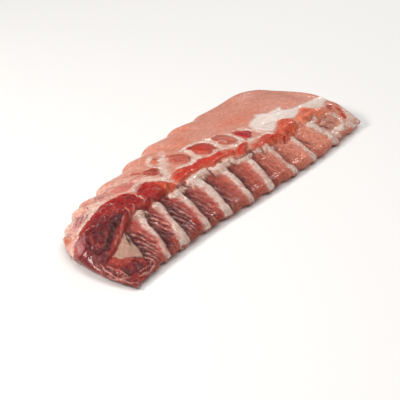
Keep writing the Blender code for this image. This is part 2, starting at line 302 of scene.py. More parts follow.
FAT_BANDS = [
    # centre line, half width at each end, how white
    ([(-70, 12), (-58, 22), (-46, 31), (-36, 40), (-22, 50)], 6.5, 5.5, 0.9),
    ([(-34, 21), (-16, 16), (2, 19), (7, 36)], 3.5, 4.5, 0.9),
    ([(4, 9), (20, 9), (36, 8), (42, 22), (44, 36)], 3.0, 4.0, 0.9),
    ([(36, 6), (46, 1), (58, -1), (68, 2), (70, 22)], 4.0, 4.0, 0.85),
    ([(64, -8), (78, -9), (94, -14)], 3.5, 4.5, 0.8),
    ([(88, 16), (96, 6), (98, -10), (94, -20)], 4.0, 5.0, 0.8),
    ([(-162, 50), (-150, 50), (-138, 50), (-128, 45)], 4.5, 3.0, 0.95),
    ([(-197, 40), (-186, 39), (-172, 42), (-156, 46)], 3.5, 3.0, 0.9),
    ([(-206, 30), (-194, 50), (-180, 60)], 3.0, 3.0, 0.6),
    ([(-228, 22), (-220, 27), (-210, 31)], 3.0, 2.2, 0.8),
    ([(-66, 22), (-72, 34), (-84, 40)], 3.0, 2.5, 0.8),
    ([(-44, 46), (-36, 60), (-24, 66)], 3.0, 2.5, 0.7),
    ([(-16, 54), (-8, 62)], 3.0, 5.0, 0.5),
    ([(6, 44), (20, 46), (34, 41), (41, 28)], 2.2, 2.4, 0.85),
    ([(-113, 28), (-117, 14), (-124, 6)], 1.3, 0.8, 0.6),
    ([(-104, 34), (-88, 39), (-74, 38)], 2.6, 2.4, 0.8),
    ([(-122, 44), (-108, 36)], 2.4, 2.2, 0.8),
    ([(150, -41), (156, -46), (160, -54), (158, -62), (150, -70)], 5.5, 4.0, 0.85),
    ([(148, -39), (160, -37), (170, -37)], 3.5, 2.0, 0.6),
    ([(166, -62), (182, -64), (196, -63)], 4.5, 5.0, 0.8),
    ([(200, -66), (213, -60), (219, -46)], 4.5, 3.5, 0.9),
    ([(188, -42), (198, -46)], 2.0, 2.0, 0.5),
    ([(197, -47), (195, -55), (188, -66)], 2.6, 3.2, 1.0),
    ([(148, -50), (157, -59), (168, -68)], 3.0, 4.0, 0.9),
    ([(204, -70), (214, -67), (221, -56)], 5.0, 4.5, 0.9),
    ([(-92, -7), (-72, -8), (-58, -9)], 3.0, 3.0, 0.85),
    ([(-58, -9), (-44, -8), (-28, -7), (-14, -15), (4, -15), (14, -19)], 4.5, 3.0, 0.85),
    ([(14, -20), (30, -25), (46, -25), (60, -30), (74, -33)], 3.0, 2.5, 0.8),
]
SILVER = [(101, 14), (112, 17), (122, 18), (130, 23), (137, 19), (141, 14), (155, 12), (164, 10),
          (161, 4), (170, -2), (183, -5), (200, -6), (213, -8), (228, -12), (226, -23), (213, -23),
          (200, -30), (190, -27), (184, -13), (175, -10), (165, -15), (150, -19), (144, -10),
          (134, -5), (124, -9), (112, -14), (103, -16), (98, -2)]
# White gristle where each rib's upper end leaves the backbone: x, y, and half sizes.
RIB_HEADS = [(-146, -4, 9, 5), (-137, -4, 5, 3), (-116, -8, 6.5, 4.5), (-82, -9, 10, 4.5),
             (-52, -11, 11, 6), (-34, -9, 14, 5), (-10, -17, 12, 6), (31, -25, 10, 4),
             (65, -31, 9, 4), (108, -39, 8, 3.5), (152, -43, 8, 4)]
CLEFTS = [([(-21, -8), (-20, -13), (-23, -19)], 1.3), ([(45, -21), (47, -27)], 1.5), ([(-66, -6), (-61, -12)], 1.4),
          ([(-69, -12), (-77, -16)], 1.8), ([(12, -20), (15, -25)], 1.2), ([(-136, -5), (-141, -10)], 1.4),
          ([(70, -4), (72, 4)], 1.0), ([(116, -41), (118, -50), (122, -56)], 1.2), ([(60, -28), (57, -33)], 1.0),
          ([(100, -34), (94, -38)], 1.0), ([(162, -46), (168, -54)], 1.2), ([(20, -19), (30, -25), (44, -22)], 0.9),
          ([(-186, -24), (-181, -16), (-177, -11)], 1.2)]

# how white each bone looks at its four stations, from its head to its sawn end
RIB_WHITE = {"rib_01": (0.4, 0.4, 0.4, 0.4), "rib_02": (0.85, 0.8, 0.35, 0.55), "rib_03": (0.7, 0.75, 0.7, 1.0),
             "rib_04": (0.8, 0.7, 0.35, 0.8), "rib_05": (0.85, 0.95, 1.0, 0.9), "rib_06": (0.9, 0.9, 0.75, 0.85),
             "rib_07": (0.8, 0.85, 0.55, 1.0), "rib_08": (0.8, 0.6, 0.45, 0.95), "rib_09": (0.85, 0.85, 0.8, 0.85),
             "rib_10": (0.9, 0.85, 0.75, 0.8)}
# Pale strands that leave a rib's right flank and bend down beside the next rib:
# start, bend, end, strength.
STRANDS = [
    ((-168, -5), (-160, -15), (-162, -42), 0.7), ((-172, -12), (-164, -22), (-167, -47), 0.9),
    ((-180, -19), (-168, -23), (-171, -49), 1.0), ((-181, -25), (-172, -30), (-176, -51), 1.0),
    ((-184, -31), (-177, -37), (-181, -54), 0.9), ((-187, -36), (-182, -42), (-187, -55), 0.8),
    ((-136, -4), (-124, -9), (-128, -34), 0.9), ((-139, -8), (-129, -16), (-132, -40), 1.0),
    ((-142, -13), (-134, -22), (-136, -45), 0.75), ((-145, -19), (-138, -29), (-141, -50), 0.45),
    ((-149, -27), (-143, -37), (-147, -55), 0.3), ((-152, -36), (-148, -44), (-153, -57), 0.3),
    ((-106, -4), (-92, -10), (-96, -36), 0.5), ((-109, -9), (-98, -17), (-100, -44), 0.8),
    ((-112, -15), (-103, -25), (-105, -50), 0.9), ((-115, -22), (-108, -33), (-110, -55), 0.6),
    ((-118, -31), (-113, -41), (-117, -58), 0.4), ((-73, -13), (-63, -24), (-67, -50), 0.4),
    ((-77, -24), (-69, -34), (-73, -56), 0.5), ((-81, -35), (-76, -43), (-80, -59), 0.5),
    ((-41, -24), (-30, -35), (-34, -58), 0.35), ((-44, -36), (-37, -44), (-41, -61), 0.4),
    ((0, -32), (9, -42), (6, -60), 0.3), ((-4, -42), (3, -50), (0, -63), 0.35),
    ((38, -36), (46, -48), (44, -62), 0.3), ((34, -48), (38, -55), (36, -66), 0.3)]
# Streaks laid over the muscles: line, half width, colour, strength, rise.
STREAKS = [
    ([(11, 36), (24, 40), (35, 33), (37, 24), (33, 15)], 1.2, (122, 60, 54), 0.7, -0.5),
    ([(18, 35), (28, 34), (33, 25), (30, 17)], 3.0, (160, 88, 74), 0.6, 0.0),
    ([(11, 31), (13, 22), (17, 16)], 2.4, (216, 92, 66), 0.75, 0.4),
    ([(19, 21), (27, 12)], 0.8, (120, 50, 48), 0.7, -0.4), ([(24, 23), (32, 15)], 0.7, (124, 56, 52), 0.6, -0.4),
    ([(46, 28), (50, 23)], 1.6, (172, 34, 42), 0.8, -0.3), ([(56, 17), (56, 6)], 2.4, (208, 88, 68), 0.7, 0.3),
    ([(51, 31), (61, 31), (67, 22), (68, 11)], 1.1, (128, 76, 68), 0.6, -0.4),
    ([(57, 28), (62, 18), (62, 8)], 1.6, (156, 92, 80), 0.5, 0.0), ([(49, 20), (51, 11)], 1.0, (232, 176, 164), 0.6, 0.2),
    ([(-6, 25), (-11, 23)], 2.0, (110, 52, 50), 0.6, -0.3), ([(-16, 44), (-13, 30)], 0.9, (220, 152, 136), 0.6, 0.3),
    ([(-8, 45), (-3, 32)], 0.9, (126, 58, 52), 0.6, -0.3), ([(-21, 41), (-19, 28)], 0.9, (124, 54, 48), 0.5, -0.3),
    ([(-12, 46), (-8, 31)], 1.0, (206, 118, 98), 0.6, 0.2),
    ([(-62, 24), (-57, 27), (-51, 31)], 1.2, (110, 44, 44), 0.5, -0.3), ([(-60, 51), (-54, 36)], 1.0, (212, 128, 112), 0.6, 0.3),
    ([(-55, 50), (-49, 37)], 0.9, (122, 48, 44), 0.6, -0.3), ([(-64, 54), (-60, 42), (-58, 32)], 0.9, (128, 50, 46), 0.5, -0.3),
    ([(75, 15), (81, 6), (84, 1)], 1.2, (120, 20, 32), 0.6, -0.3),
    # the crease, the strip and the curl in the big muscle; their dark sunken lines are painted shade in the creases and
    # folds
    ([(-157, 7), (-170, 3), (-184, -2), (-198, -6), (-209, -9)], 2.6, (70, 20, 28), 0.7, -0.9),
    ([(-160, 0), (-170, -4), (-182, -8), (-196, -12), (-208, -16)], 4.4, (160, 56, 50), 0.5, 0.0),
    ([(-161, 3), (-168, 0), (-175, -3)], 0.7, (218, 150, 136), 0.4, 0.1), ([(-174, -6), (-182, -8), (-189, -12)], 0.7, (216, 146, 132), 0.45, 0.1),
    ([(-185, -7), (-193, -10), (-200, -14)], 0.7, (216, 150, 138), 0.35, 0.1), ([(-164, -3), (-174, -7), (-184, -11)], 0.7, (110, 28, 32), 0.5, -0.3),
    # the purple-grey streaks on this line and the first on the next are painted highlights
    ([(-150, 20), (-162, 17), (-172, 12)], 0.8, (150, 96, 100), 0.5, 0.2), ([(-168, 24), (-182, 20), (-192, 13)], 0.8, (148, 96, 102), 0.5, 0.2),
    ([(-200, 24), (-208, 18), (-214, 12)], 0.9, (170, 120, 124), 0.5, 0.2), ([(-140, 30), (-150, 27), (-158, 22)], 0.8, (196, 96, 92), 0.45, 0.2),
    ([(-208, 14), (-217, 3), (-216, -6), (-206, -9), (-197, -5)], 1.3, (74, 20, 28), 0.85, -1.2),
    ([(-205, 12), (-212, 3), (-211, -3), (-204, -5)], 1.5, (158, 62, 60), 0.6, 0.7),
    ([(-196, 19), (-203, 8), (-208, 2)], 1.1, (76, 22, 30), 0.7, -0.8), ([(-184, 15), (-192, 8), (-200, 2)], 1.1, (78, 22, 30), 0.6, -0.7),
    ([(-140, 43), (-128, 42), (-118, 39), (-110, 33), (-106, 27)], 3.2, (204, 84, 62), 0.8, 0.3),
    ([(-112, 30), (-115, 20), (-121, 10), (-126, 2)], 1.0, (228, 168, 152), 0.6, 0.3),
    ([(-104, 20), (-99, 8), (-97, -1)], 1.0, (206, 120, 108), 0.55, 0.3), ([(-92, 26), (-90, 12), (-90, 2)], 1.0, (138, 22, 28), 0.6, -0.5),
    ([(-131, 34), (-136, 22), (-142, 10)], 1.0, (104, 22, 28), 0.6, -0.8), ([(-150, 34), (-154, 24), (-160, 14)], 1.0, (98, 24, 30), 0.6, -0.8),
    ([(-145, 14), (-150, 4), (-156, -1)], 1.1, (222, 150, 134), 0.6, 0.4), ([(-134, 12), (-140, 5), (-146, 1)], 0.9, (220, 146, 130), 0.6, 0.4),
    # far left: thin dark streaks in the pale lobes, and the torn ends
    ([(-183, 49), (-174, 52), (-163, 59)], 1.3, (140, 84, 94), 0.6, -0.2), ([(-178, 46), (-168, 50), (-158, 56)], 1.2, (132, 74, 84), 0.65, -0.2),
    ([(-171, 44), (-158, 51)], 0.9, (128, 70, 80), 0.55, -0.2), ([(-186, 51), (-177, 54), (-168, 53), (-156, 49)], 1.0, (132, 74, 84), 0.45, -0.15),
    ([(-184, 44), (-173, 44), (-161, 47)], 0.8, (152, 98, 106), 0.6, -0.2), ([(-74, 41), (-66, 35), (-58, 30)], 2.0, (238, 208, 198), 0.55, 0.3),
    ([(-134, 63), (-123, 62), (-115, 55), (-113, 45)], 1.0, (140, 84, 88), 0.65, -0.5),
    ([(-128, 67), (-116, 62), (-108, 53)], 0.9, (150, 92, 92), 0.5, -0.4), ([(-140, 58), (-128, 58), (-119, 51)], 0.9, (148, 86, 88), 0.55, -0.4),
    ([(-106, 66), (-94, 61), (-86, 52)], 1.0, (142, 68, 76), 0.75, -0.4), ([(-84, 50), (-75, 49), (-66, 48)], 1.6, (176, 68, 62), 0.6, -0.2),
    ([(-128, 61), (-121, 57), (-115, 51)], 2.4, (186, 128, 128), 0.6, -0.2), ([(-98, 54), (-88, 50), (-82, 40)], 1.0, (162, 80, 76), 0.6, -0.4),
    ([(-108, 58), (-100, 50), (-94, 42)], 1.0, (166, 86, 80), 0.5, -0.4), ([(-152, 60), (-140, 66), (-130, 70)], 1.2, (206, 120, 104), 0.6, 0.3),
    ([(-78, 64), (-68, 60), (-62, 56)], 1.0, (176, 96, 84), 0.5, -0.4), ([(-88, 66), (-78, 56), (-70, 52)], 1.0, (236, 190, 176), 0.6, 0.3),
    # cut left end: pale layers with dark gaps
    ([(-225, -15), (-226, -27), (-227, -38), (-225, -52)], 0.7, (232, 184, 172), 0.6, 0.05),
    ([(-221, -19), (-220, -33), (-221, -47)], 0.6, (226, 170, 158), 0.5, 0.05),
    ([(-223, -17), (-223.5, -30), (-224, -46)], 0.9, (86, 26, 32), 0.6, -0.2),
    ([(-218, -22), (-218, -34), (-218, -46)], 0.9, (88, 26, 32), 0.6, -0.5),
    ([(-214, -52), (-200, -53.5), (-186, -52)], 0.7, (232, 184, 172), 0.6, 0.05), ([(-208, -49), (-196, -50), (-184, -47)], 0.6, (226, 172, 160), 0.45, 0.05),
    ([(-211, -50.5), (-198, -52), (-186, -49.5)], 0.7, (96, 30, 34), 0.6, -0.3),
    # the muscle in the thick end
    ([(166, -44), (177, -42), (188, -47)], 0.9, (136, 82, 72), 0.65, -0.3), ([(162, -49), (174, -50), (186, -56)], 0.9, (140, 84, 74), 0.6, -0.3),
    ([(166, -56), (178, -60)], 0.8, (144, 90, 80), 0.5, -0.3), ([(164, -46), (176, -46), (187, -52)], 0.7, (226, 178, 162), 0.5, 0.2)]
# Soft patches of colour: x, y, half sizes, turn in degrees, colour, strength, rise.
PATCHES = [
    (-47, 13, 9, 5, 10, (214, 112, 84), 0.6, 0.0), (-29, 6, 9, 6, 0, (200, 52, 34), 0.7, 0.3), (-2, -1, 10, 6, 10, (218, 66, 40), 0.7, 0.4),
    (26, 0, 8, 6, 0, (218, 136, 116), 0.75, 0.0), (46, -11, 7, 3.5, 25, (204, 48, 34), 0.6, 0.3), (112, -34, 7, 4, 0, (168, 66, 56), 0.6, -0.6),
    (172, -22, 6, 4, 0, (200, 84, 64), 0.5, -0.4), (156, -28, 7, 4, 20, (230, 124, 92), 0.6, 0.3),
    (-213, -25, 5, 3, 60, (182, 72, 56), 0.65, 0.7), (-205, -32, 5, 3, 40, (174, 66, 54), 0.6, 0.6), (-216, -41, 5, 4, 40, (66, 18, 26), 0.85, -1.4),
    # (-203, -42), a purple-grey spot on the chunk, is a painted highlight.
    (-203, -42, 4.5, 3, 30, (128, 80, 86), 0.55, 0.5), (-193, -41, 4, 5, 0, (176, 48, 40), 0.7, 0.5), (-208, -47, 6, 2.5, 20, (84, 22, 30), 0.7, -0.9),
    (-226, -53, 6, 4, 0, (132, 30, 34), 0.8, 0.0), (-210, 21, 6, 4, 30, (176, 132, 136), 0.5, 0.3), (-198, 42, 7, 6, 30, (222, 124, 98), 0.6, 0.5),
    # (-210, 21), here, and (-218, 16), below, are lilac spots on the dark muscle: painted highlights.
    (-208, 34, 7, 5, 40, (224, 152, 140), 0.6, 0.0), (-227, 12, 5, 6, 0, (96, 26, 32), 0.8, -0.8), (-223, -3, 7, 10, 10, (112, 34, 40), 0.65, -0.3), (-214, 8, 5, 5, 0, (120, 42, 46), 0.5, 0.0),
    (-218, 16, 5, 4, 30, (196, 150, 156), 0.45, 0.3), (-219, -14, 7, 4, 0, (92, 28, 36), 0.6, -0.4), (-128, 32, 10, 8, 20, (160, 30, 32), 0.6, 0.3),
    (-178, 22, 14, 9, 30, (122, 40, 42), 0.65, 0.0), (-192, 12, 12, 8, 20, (98, 34, 40), 0.65, 0.0), (-176, 5, 14, 4, 15, (72, 22, 30), 0.65, -0.5), (-84, 18, 6, 8, 0, (196, 64, 40), 0.5, 0.0),
    # The dark sunken patches at (-181, -21), (-76, -16), (-106, -16), (-141, -36), (-106, -33), (-150, -40), (-36,
    # -21), (2, -27), (38, -32) and (76, -37) lie beside ribs' right flanks: painted shade.
    (-181, -21, 3, 7, 15, (66, 20, 28), 0.8, -0.8), (-162, -10, 6, 5, 20, (186, 76, 60), 0.6, 0.0), (-76, -16, 4, 8, 0, (70, 24, 30), 0.6, -0.5),
    (-106, -16, 4, 10, 8, (62, 18, 26), 0.7, -0.5), (-141, -36, 4.5, 9, 8, (58, 12, 18), 0.6, -0.2), (-106, -33, 4.5, 8, 8, (70, 18, 24), 0.5, -0.2),
    (-111, 66, 2.6, 6, 0, (212, 100, 74), 0.7, 0.2), (-143, 68, 3.0, 5, 0, (206, 96, 74), 0.7, 0.3), (-222, 26, 4, 3.5, 20, (234, 210, 200), 0.75, 0.5), (-150, -40, 4, 10, 8, (70, 20, 28), 0.7, -0.3), (-36, -21, 5, 7, 0, (92, 38, 38), 0.6, -0.4),
    (2, -27, 6, 5, 0, (116, 52, 48), 0.6, -0.3), (38, -32, 6, 4, 0, (134, 66, 58), 0.6, -0.3), (76, -37, 6, 4, 0, (150, 84, 72), 0.5, -0.3)]

C_CRIMSON = lin(156, 30, 29)
C_ORANGE_2 = lin(220, 116, 82)
C_LOIN = lin(213, 147, 127)
C_LOIN_L = lin(222, 160, 145)
C_FAT = lin(232, 206, 190)
C_SILVER = lin(235, 219, 210)
C_PINK = lin(214, 140, 124)
C_RIB = lin(206, 156, 140)
C_MAROON = lin(84, 26, 30)


class Tissue:
    """Relief and paint for a set of plan points."""

    def __init__(self, x, y):
        self.x, self.y = x, y
        # points are read a little off their place, so that outlines wander
        self.xw = x + 2.0*fbm(x, y, 15, 2, 3) + 1.1*fbm(x, y, 5, 2, 5)
        self.yw = y + 2.0*fbm(x, y, 15, 2, 4) + 1.1*fbm(x, y, 5, 2, 6)
        n = len(x)
        self.col = np.zeros((n, 3))
        self.h = np.zeros(n)
        self.fat = np.zeros(n)
        self.streak = np.zeros(n)
        self.grain = np.zeros(n)
        self.angle = np.zeros(n)

    def lay(self, mask, colour):
        m = np.clip(mask, 0, 1)[:, None]
        self.col = self.col*(1 - m) + np.asarray(colour)*m

    def spot(self, cx, cy, rx, ry, turn, colour, strength, rise):
        a = math.radians(turn)
        u = ((self.xw - cx)*math.cos(a) + (self.yw - cy)*math.sin(a))/rx
        v = (-(self.xw - cx)*math.sin(a) + (self.yw - cy)*math.cos(a))/ry
        g = np.exp(-(u*u + v*v)*1.1)
        self.lay(strength*step(0.12, 0.7, g), lin(*colour))
        self.h += rise*g
        return g

    def stripe(self, line, width, colour, strength, rise):
        d, side, along = line_field(0.4*self.xw + 0.6*self.x, 0.4*self.yw + 0.6*self.y, line)
        ends = step(0.0, 0.12, along)*step(1.0, 0.85, along)
        w = width*(0.45 + 0.55*ends)*(1 + 0.35*noise(self.x/3.1, self.y/3.1, 77))
        g = np.exp(-(d/w)**2)
        self.lay(strength*step(0.15, 0.8, g), lin(*colour))
        self.h += rise*g
        self.fat *= 1 - 0.8*strength*step(0.15, 0.8, g)
        return g

    def set(self, mask, streak=None, grain=None, angle=None, fat=None):
        m = np.clip(mask, 0, 1)
        for key, val in (("streak", streak), ("grain", grain), ("fat", fat)):
            if val is not None:
                setattr(self, key, getattr(self, key)*(1 - m) + val*m)
        if angle is not None:
            self.angle = np.where(m > 0.5, angle, self.angle)

    def muscle(self, poly, rim, core, reach, rise, soft=1.3, angle=None, groove=0.8, streak=0.25, grain=0.3, round_r=7.0):
        d = sdf(self.xw, self.yw, poly)
        m = step(-soft, soft, d)
        tone = step(0, reach, d)[:, None]
        self.lay(m, np.asarray(rim)*(1 - tone) + np.asarray(core)*tone)
        self.h += rise*edge_round(np.clip(d, 0, None), round_r)*step(-0.5, 1.5, d)
        self.h -= groove*np.exp(-((d + 0.3)/1.4)**2)
        # the dark line laid along the groove is painted shade in it
        self.lay(0.32*np.exp(-((d + 0.3)/1.0)**2)*min(1.0, groove), C_MAROON*2.0)
        self.set(m, streak, grain, angle, 0.0)
        return d, m


def tissue(x, y):
    T = Tissue(x, y)
    xw, yw = T.xw, T.yw
    yn, yr, yf = near_y(x), station(3, x), far_y(x)
    t = (y - yn)/(yr - yn)                     # 0 at the sawn edge, 1 at the crest
    s = (y - yr)/(yf - yr)                     # 0 at the crest, 1 at the loin outline
    big = fbm(x, y, 26, 3, 11)
    mid = fbm(x, y, 9, 3, 12)
    fine = fbm(x, y, 4.2, 2, 13)
    tiny = noise((0.7*x - 0.7*y)/2.8, (0.7*x + 0.7*y)/2.8, 14)

    # ---- loin side: soft folds that lap over each other from the right
    left = step(-30, -110, x)
    T.lay(1 + 0*x, C_LOIN)
    T.lay(left*0.8, C_LOIN_L)
    T.lay(0.40*step(-0.1, 0.6, big), C_PINK)
    T.lay(0.14*step(0.1, 0.7, -big), C_ORANGE_2)
    T.lay(0.5*step(40, 130, x), lin(206, 128, 106))
    T.lay(0.4*step(-70, -92, x)*step(-140, -112, x), lin(222, 164, 150))
    T.set(1 + 0*x, 0.16, 0.03, 1.3)
    loin = step(0.10, 0.28, s)
    back = yf - y
    lap = x - 0.62*back
    wave = np.zeros(len(x))
    for a, b, h in FAR_LOBES:
        tt = np.clip((lap - a)/(b - a), 0, 1)
        wave = wave + h*edge_round(tt*(b - a), 3.4)*(1 - tt)**0.8
    fade = loin*step(62, 8, back)*(0.5 + 0.5*step(60, -20, x))
    T.h += fade*(0.55*wave - 0.8 - 1.4*step(20, 110, x))
    T.h += loin*step(26, 6, back)*(0.30*wave - 1.0)*step(130, 60, x)
    T.h += loin*(0.7*big + 0.30*mid)*(1 - 0.5*step(-20, 60, x))
    T.h += 3.4*np.exp(-((x - 165)/24)**2 - ((back - 8)/14)**2)
    T.h -= 1.3*np.exp(-((x - 207)/12)**2 - ((y - 12)/22)**2)
    fold = ridged(lap*0.9, (y*0.85 + x*0.5)*0.28, 8, 2, 23)
    T.lay(0.55*loin*left*step(0.3, 0.85, fold), C_FAT)
    T.lay(0.5*loin*left*step(0.05, -0.5, fold), lin(168, 96, 88))
    T.h += loin*left*0.8*step(0.2, 0.9, fold)
    T.set(loin*left, 0.40, 0.08, 1.12)
    for cx, cy, rx, ry in ORANGE_SPOTS:
        g = np.exp(-(((xw - cx)/rx)**2 + ((yw - cy)/ry)**2)*0.9)
        T.lay(0.55*g, C_ORANGE_2)
    veil = step(0.25, 0.85, ridged(x*0.55 + y*0.35, y*0.9 - x*0.25, 11, 2, 21))
    T.lay(0.20*loin*veil, C_LOIN_L)
    # flecks along the fibres: the pale ones stand in for small wet highlights as painted highlights, the darker ones
    # are the meat's grain
    fleck = noise((0.96*x + 0.28*y)/7.5, (0.96*y - 0.28*x)/2.6, 105) + 0.4*noise((0.96*x + 0.28*y)/3.8, (0.96*y - 0.28*x)/2.0, 106)
    T.lay(0.32*loin*step(0.25, 0.65, fleck), lin(234, 186, 172))
    T.lay(0.26*loin*step(0.25, 0.65, -fleck), lin(192, 116, 98))
    T.h += loin*0.10*fleck
    # edge of the loin: a pale rim here and there
    T.lay(0.35*step(7, 1, back)*step(-0.1, 0.4, mid), C_FAT)

    # ---- between the ribs
    gap_l = np.full(len(x), 60.0)      # to the rib on the left of a point
    gap_r = np.full(len(x), 60.0)      # to the rib on its right
    dmin = np.full(len(x), 60.0)
    half_at = np.full(len(x), 5.0)
    along_at = np.zeros(len(x))
    side_at = np.zeros(len(x))
    white_at = np.zeros(len(x))
    for k, (name, line) in enumerate(RIBS):
        d, side, along = line_field(xw, yw, line)
        pts = np.asarray(line, float)
        half = cubic(along, np.linspace(0, 1, len(line)), pts[:, 2])
        if k == 0:
            gap = -sdf(xw, yw, WEDGE)
        else:
            gap = d - half
        to_right = side < 0
        gap_l = np.where(to_right & (gap < gap_l), gap, gap_l)
        gap_r = np.where(~to_right & (gap < gap_r), gap, gap_r)
        near_it = gap < dmin
        dmin = np.where(near_it, gap, dmin)
        half_at = np.where(near_it, half, half_at)
        along_at = np.where(near_it, along, along_at)
        white_at = np.where(near_it, cubic(along, np.linspace(0, 1, 4), np.array(RIB_WHITE[name])), white_at)
        side_at = np.where(near_it, np.where(to_right, 1.0, -1.0), side_at)
    w = np.clip(gap_l, 0, 40)/np.clip(np.clip(gap_l, 0, 40) + np.clip(gap_r, 0, 40), 0.5, None)
    near = step(1.05, 0.95, t + 0.03*mid)
    mid_x = step(-110, 10, x)
    right_x = step(10, 120, x)
    leftness = 1 - step(-60, 50, x)

    def tri(a, b, c):
        return ((a*(1 - mid_x[:, None]) + b*mid_x[:, None])*(1 - right_x[:, None]) + c*right_x[:, None])

    # Tones of the muscle between the ribs: the dark one, laid beside a rib's right flank, is painted shade, though the
    # thinner meat there is darker too; the light one, laid towards the next rib's left flank, is painted light and also
    # serves for pale streaks.
    base = tri(lin(116, 24, 25), lin(166, 72, 56), lin(220, 138, 114))
    gap_shade = tri(lin(54, 9, 15), lin(96, 30, 28), lin(186, 100, 80))
    gap_lit_and_pale = tri(lin(170, 56, 46), lin(198, 102, 82), lin(228, 148, 124))
    T.lay(near, base)
    wn = w + 0.16*mid + 0.10*fine
    T.lay(near*step(0.42, 0.04, wn), gap_shade)
    T.lay(near*step(0.55, 0.95, wn)*0.8, gap_lit_and_pale)
    # more painted shade: deep maroon beside the right flanks of the left-hand ribs
    T.lay(near*leftness*0.85*step(0.42, 0.04, wn - 0.08*mid_x)*step(0.08, 0.25, t), C_MAROON)
    band = near*step(-205, -190, x)*step(190, 172, x)
    bandt = band*step(1.0, 0.84, t)
    # hollow: steep beside a rib's right flank, rising to the next rib
    prof = step(0.0, 4.0, gap_l)*step(0.0, 6.0, gap_r)*(1.25 - 0.75*w)
    depth = (2.9 - 1.2*right_x)*step(0.03, 0.30, t)
    T.h -= bandt*depth*prof
    T.h -= bandt*(1.3 - 0.6*right_x)*np.exp(-((gap_l - 1.6)/2.2)**2)
    # oblique strands of membrane
    a = 0.50 + 0.22*noise(x/34, y/34, 31) + 0.25*step(0.8, 0.2, t)
    al = xw*math.sin(0.5) - yw*math.cos(0.5)
    ac = xw*math.cos(0.5) + yw*math.sin(0.5) + 2.4*noise(x/16, y/16, 32)
    strand = ridged(ac/5.0, al/24, 1.0, 1, 33)
    strand2 = fbm(ac/2.0, al/13, 1.0, 2, 35)
    open_ = bandt*step(-0.5, 2.0, dmin)*step(1.02, 0.9, t)
    T.lay(open_*leftness*0.22*step(0.8, 0.99, strand)*step(-0.2, 0.6, big + mid), lin(214, 128, 112))
    T.lay(open_*(0.15 + 0.35*leftness)*step(0.0, -0.55, strand2), C_MAROON*1.5)
    T.lay(open_*0.25*step(0.15, 0.6, strand2), gap_lit_and_pale)
    for p0, p1, p2, force in STRANDS:
        f = np.linspace(0, 1, 7)[:, None]
        curve = np.array(p0)*(1 - f)**2 + 2*np.array(p1)*f*(1 - f) + np.array(p2)*f*f
        d, side, along = line_field(xw, yw, curve)
        d = np.hypot(d, 0.0)/(1 + 0.3*noise(x/4, y/4, 36))
        keep = open_*step(0.0, 0.06, along)*step(1.0, 0.75, along)*(0.25 + 0.75*step(-0.25, 0.25, noise(x/6, y/6, 37)))
        # a dark band on one side of each raised strand: painted shadow
        T.lay(keep*0.75*force*np.exp(-(d/2.6)**2)*step(0.0, 2.0, side*(1 + 0*d)), gap_shade*0.9)
        T.lay(keep*force*np.exp(-(d/0.72)**2), lin(238, 176, 158))
        T.h += keep*force*(0.8*np.exp(-(d/0.9)**2) - 0.35*np.exp(-((d - 2.0)/1.0)**2))
    T.h += open_*(leftness*0.3*step(0.3, 0.95, strand) + (0.25 + 0.2*leftness)*strand2)
    T.lay(open_*(1 - leftness)*0.4*step(0.2, 0.6, mid + 0.5*fine), C_PINK)
    T.h += open_*(1 - leftness)*(0.35*fine + 0.25*tiny)
    T.set(near, 0.30 + 0.25*leftness, 0.95 - 0.65*leftness, 0.5)

    # ---- ribs: rounded bars under a thin pale skin
    rib_soft = np.where(side_at > 0, 0.9, 2.6)
    cross_over = np.where(side_at > 0, 0.0, 2.2)*leftness*(strand - 0.4)
    rib_mask = band*step(rib_soft, -rib_soft, dmin + 0.8*fine + 0.45*tiny - cross_over)
    cross = np.clip((dmin + half_at)/half_at, 0, 1.6)
    T.h += band*(1.8 - 1.2*along_at**2)*(1 - 0.45*step(40, 130, x))*np.exp(-(cross/0.95)**4)*step(-0.05, 0.30, along_at)
    T.h += band*0.5*step(0.15, 0.0, along_at)*np.exp(-(cross/0.9)**2)
    rib_tone = np.clip(0.35 + 0.5*white_at + 0.4*mid + 0.4*fine, 0, 1)[:, None]
    rib_col = C_RIB*(1 - rib_tone) + lin(230, 204, 192)*rib_tone
    # the left flank fades into the meat beside it; the right flank is sharp and white
    flank_l = np.where(side_at < 0, step(0.35, 1.1, cross), 0.35*step(0.75, 1.05, cross))
    blush = fbm(x, y, 6.5, 2, 39)
    pinky = np.clip(0.85*(1 - white_at) + 0.6*flank_l + 0.55*step(0.0, 0.5, blush) - 0.12, 0, 1)[:, None]
    rib_col = rib_col*(1 - pinky) + lin(202, 134, 120)*pinky
    T.lay(rib_mask, rib_col)
    T.set(rib_mask, 0.25, 0.40, 0.2)
    rib_fat = rib_mask*np.clip(0.08 + 0.7*white_at - 0.5*pinky[:, 0] + 0.4*mid + 0.25*fine, 0, 0.8)

    # ---- sawn rim: pinker, with torn fat
    rim = step(0.13, 0.0, t)*near
    T.lay(0.45*rim*(1 - 0.6*rib_mask), lin(196, 112, 92))
    T.h += rim*0.5*fine

    # ---- the bare wedge of the first rib
    wd = sdf(xw, yw, WEDGE)
    wedge = step(-0.6, 0.6, wd)
    T.lay(wedge, lin(186, 147, 126)*(1 + 0.14*mid + 0.12*fine)[:, None])
    T.lay(0.5*wedge*step(2.5, 0.3, wd), lin(216, 184, 162))
    T.lay(0.35*wedge*step(0.2, 0.6, mid), lin(190, 120, 104))
    T.lay(0.45*wedge*step(0.1, 0.5, fine + 0.4*tiny), lin(164, 106, 88))
    T.set(wedge, 0.05, 0.3, 0.2, 0.0)

    # ---- gristle at the rib heads
    T.fat = np.maximum(T.fat, rib_fat)
    for cx, cy, rx, ry in RIB_HEADS:
        g = 1 - np.sqrt(((xw - cx)/rx)**2 + ((yw - cy)/ry)**2)
        m = step(-0.3, 0.35, g + 0.25*fine)
        T.lay(m*0.8, lin(200, 158, 140))
        T.fat = np.maximum(T.fat, m*np.clip(0.44 + 0.5*mid + 0.3*fine, 0, 0.8))
        T.h += 1.2*step(-0.2, 0.8, g)
    T.lay(0.3*step(0.25, 0.7, fine)*step(0.3, 0.8, T.fat), lin(150, 110, 96))

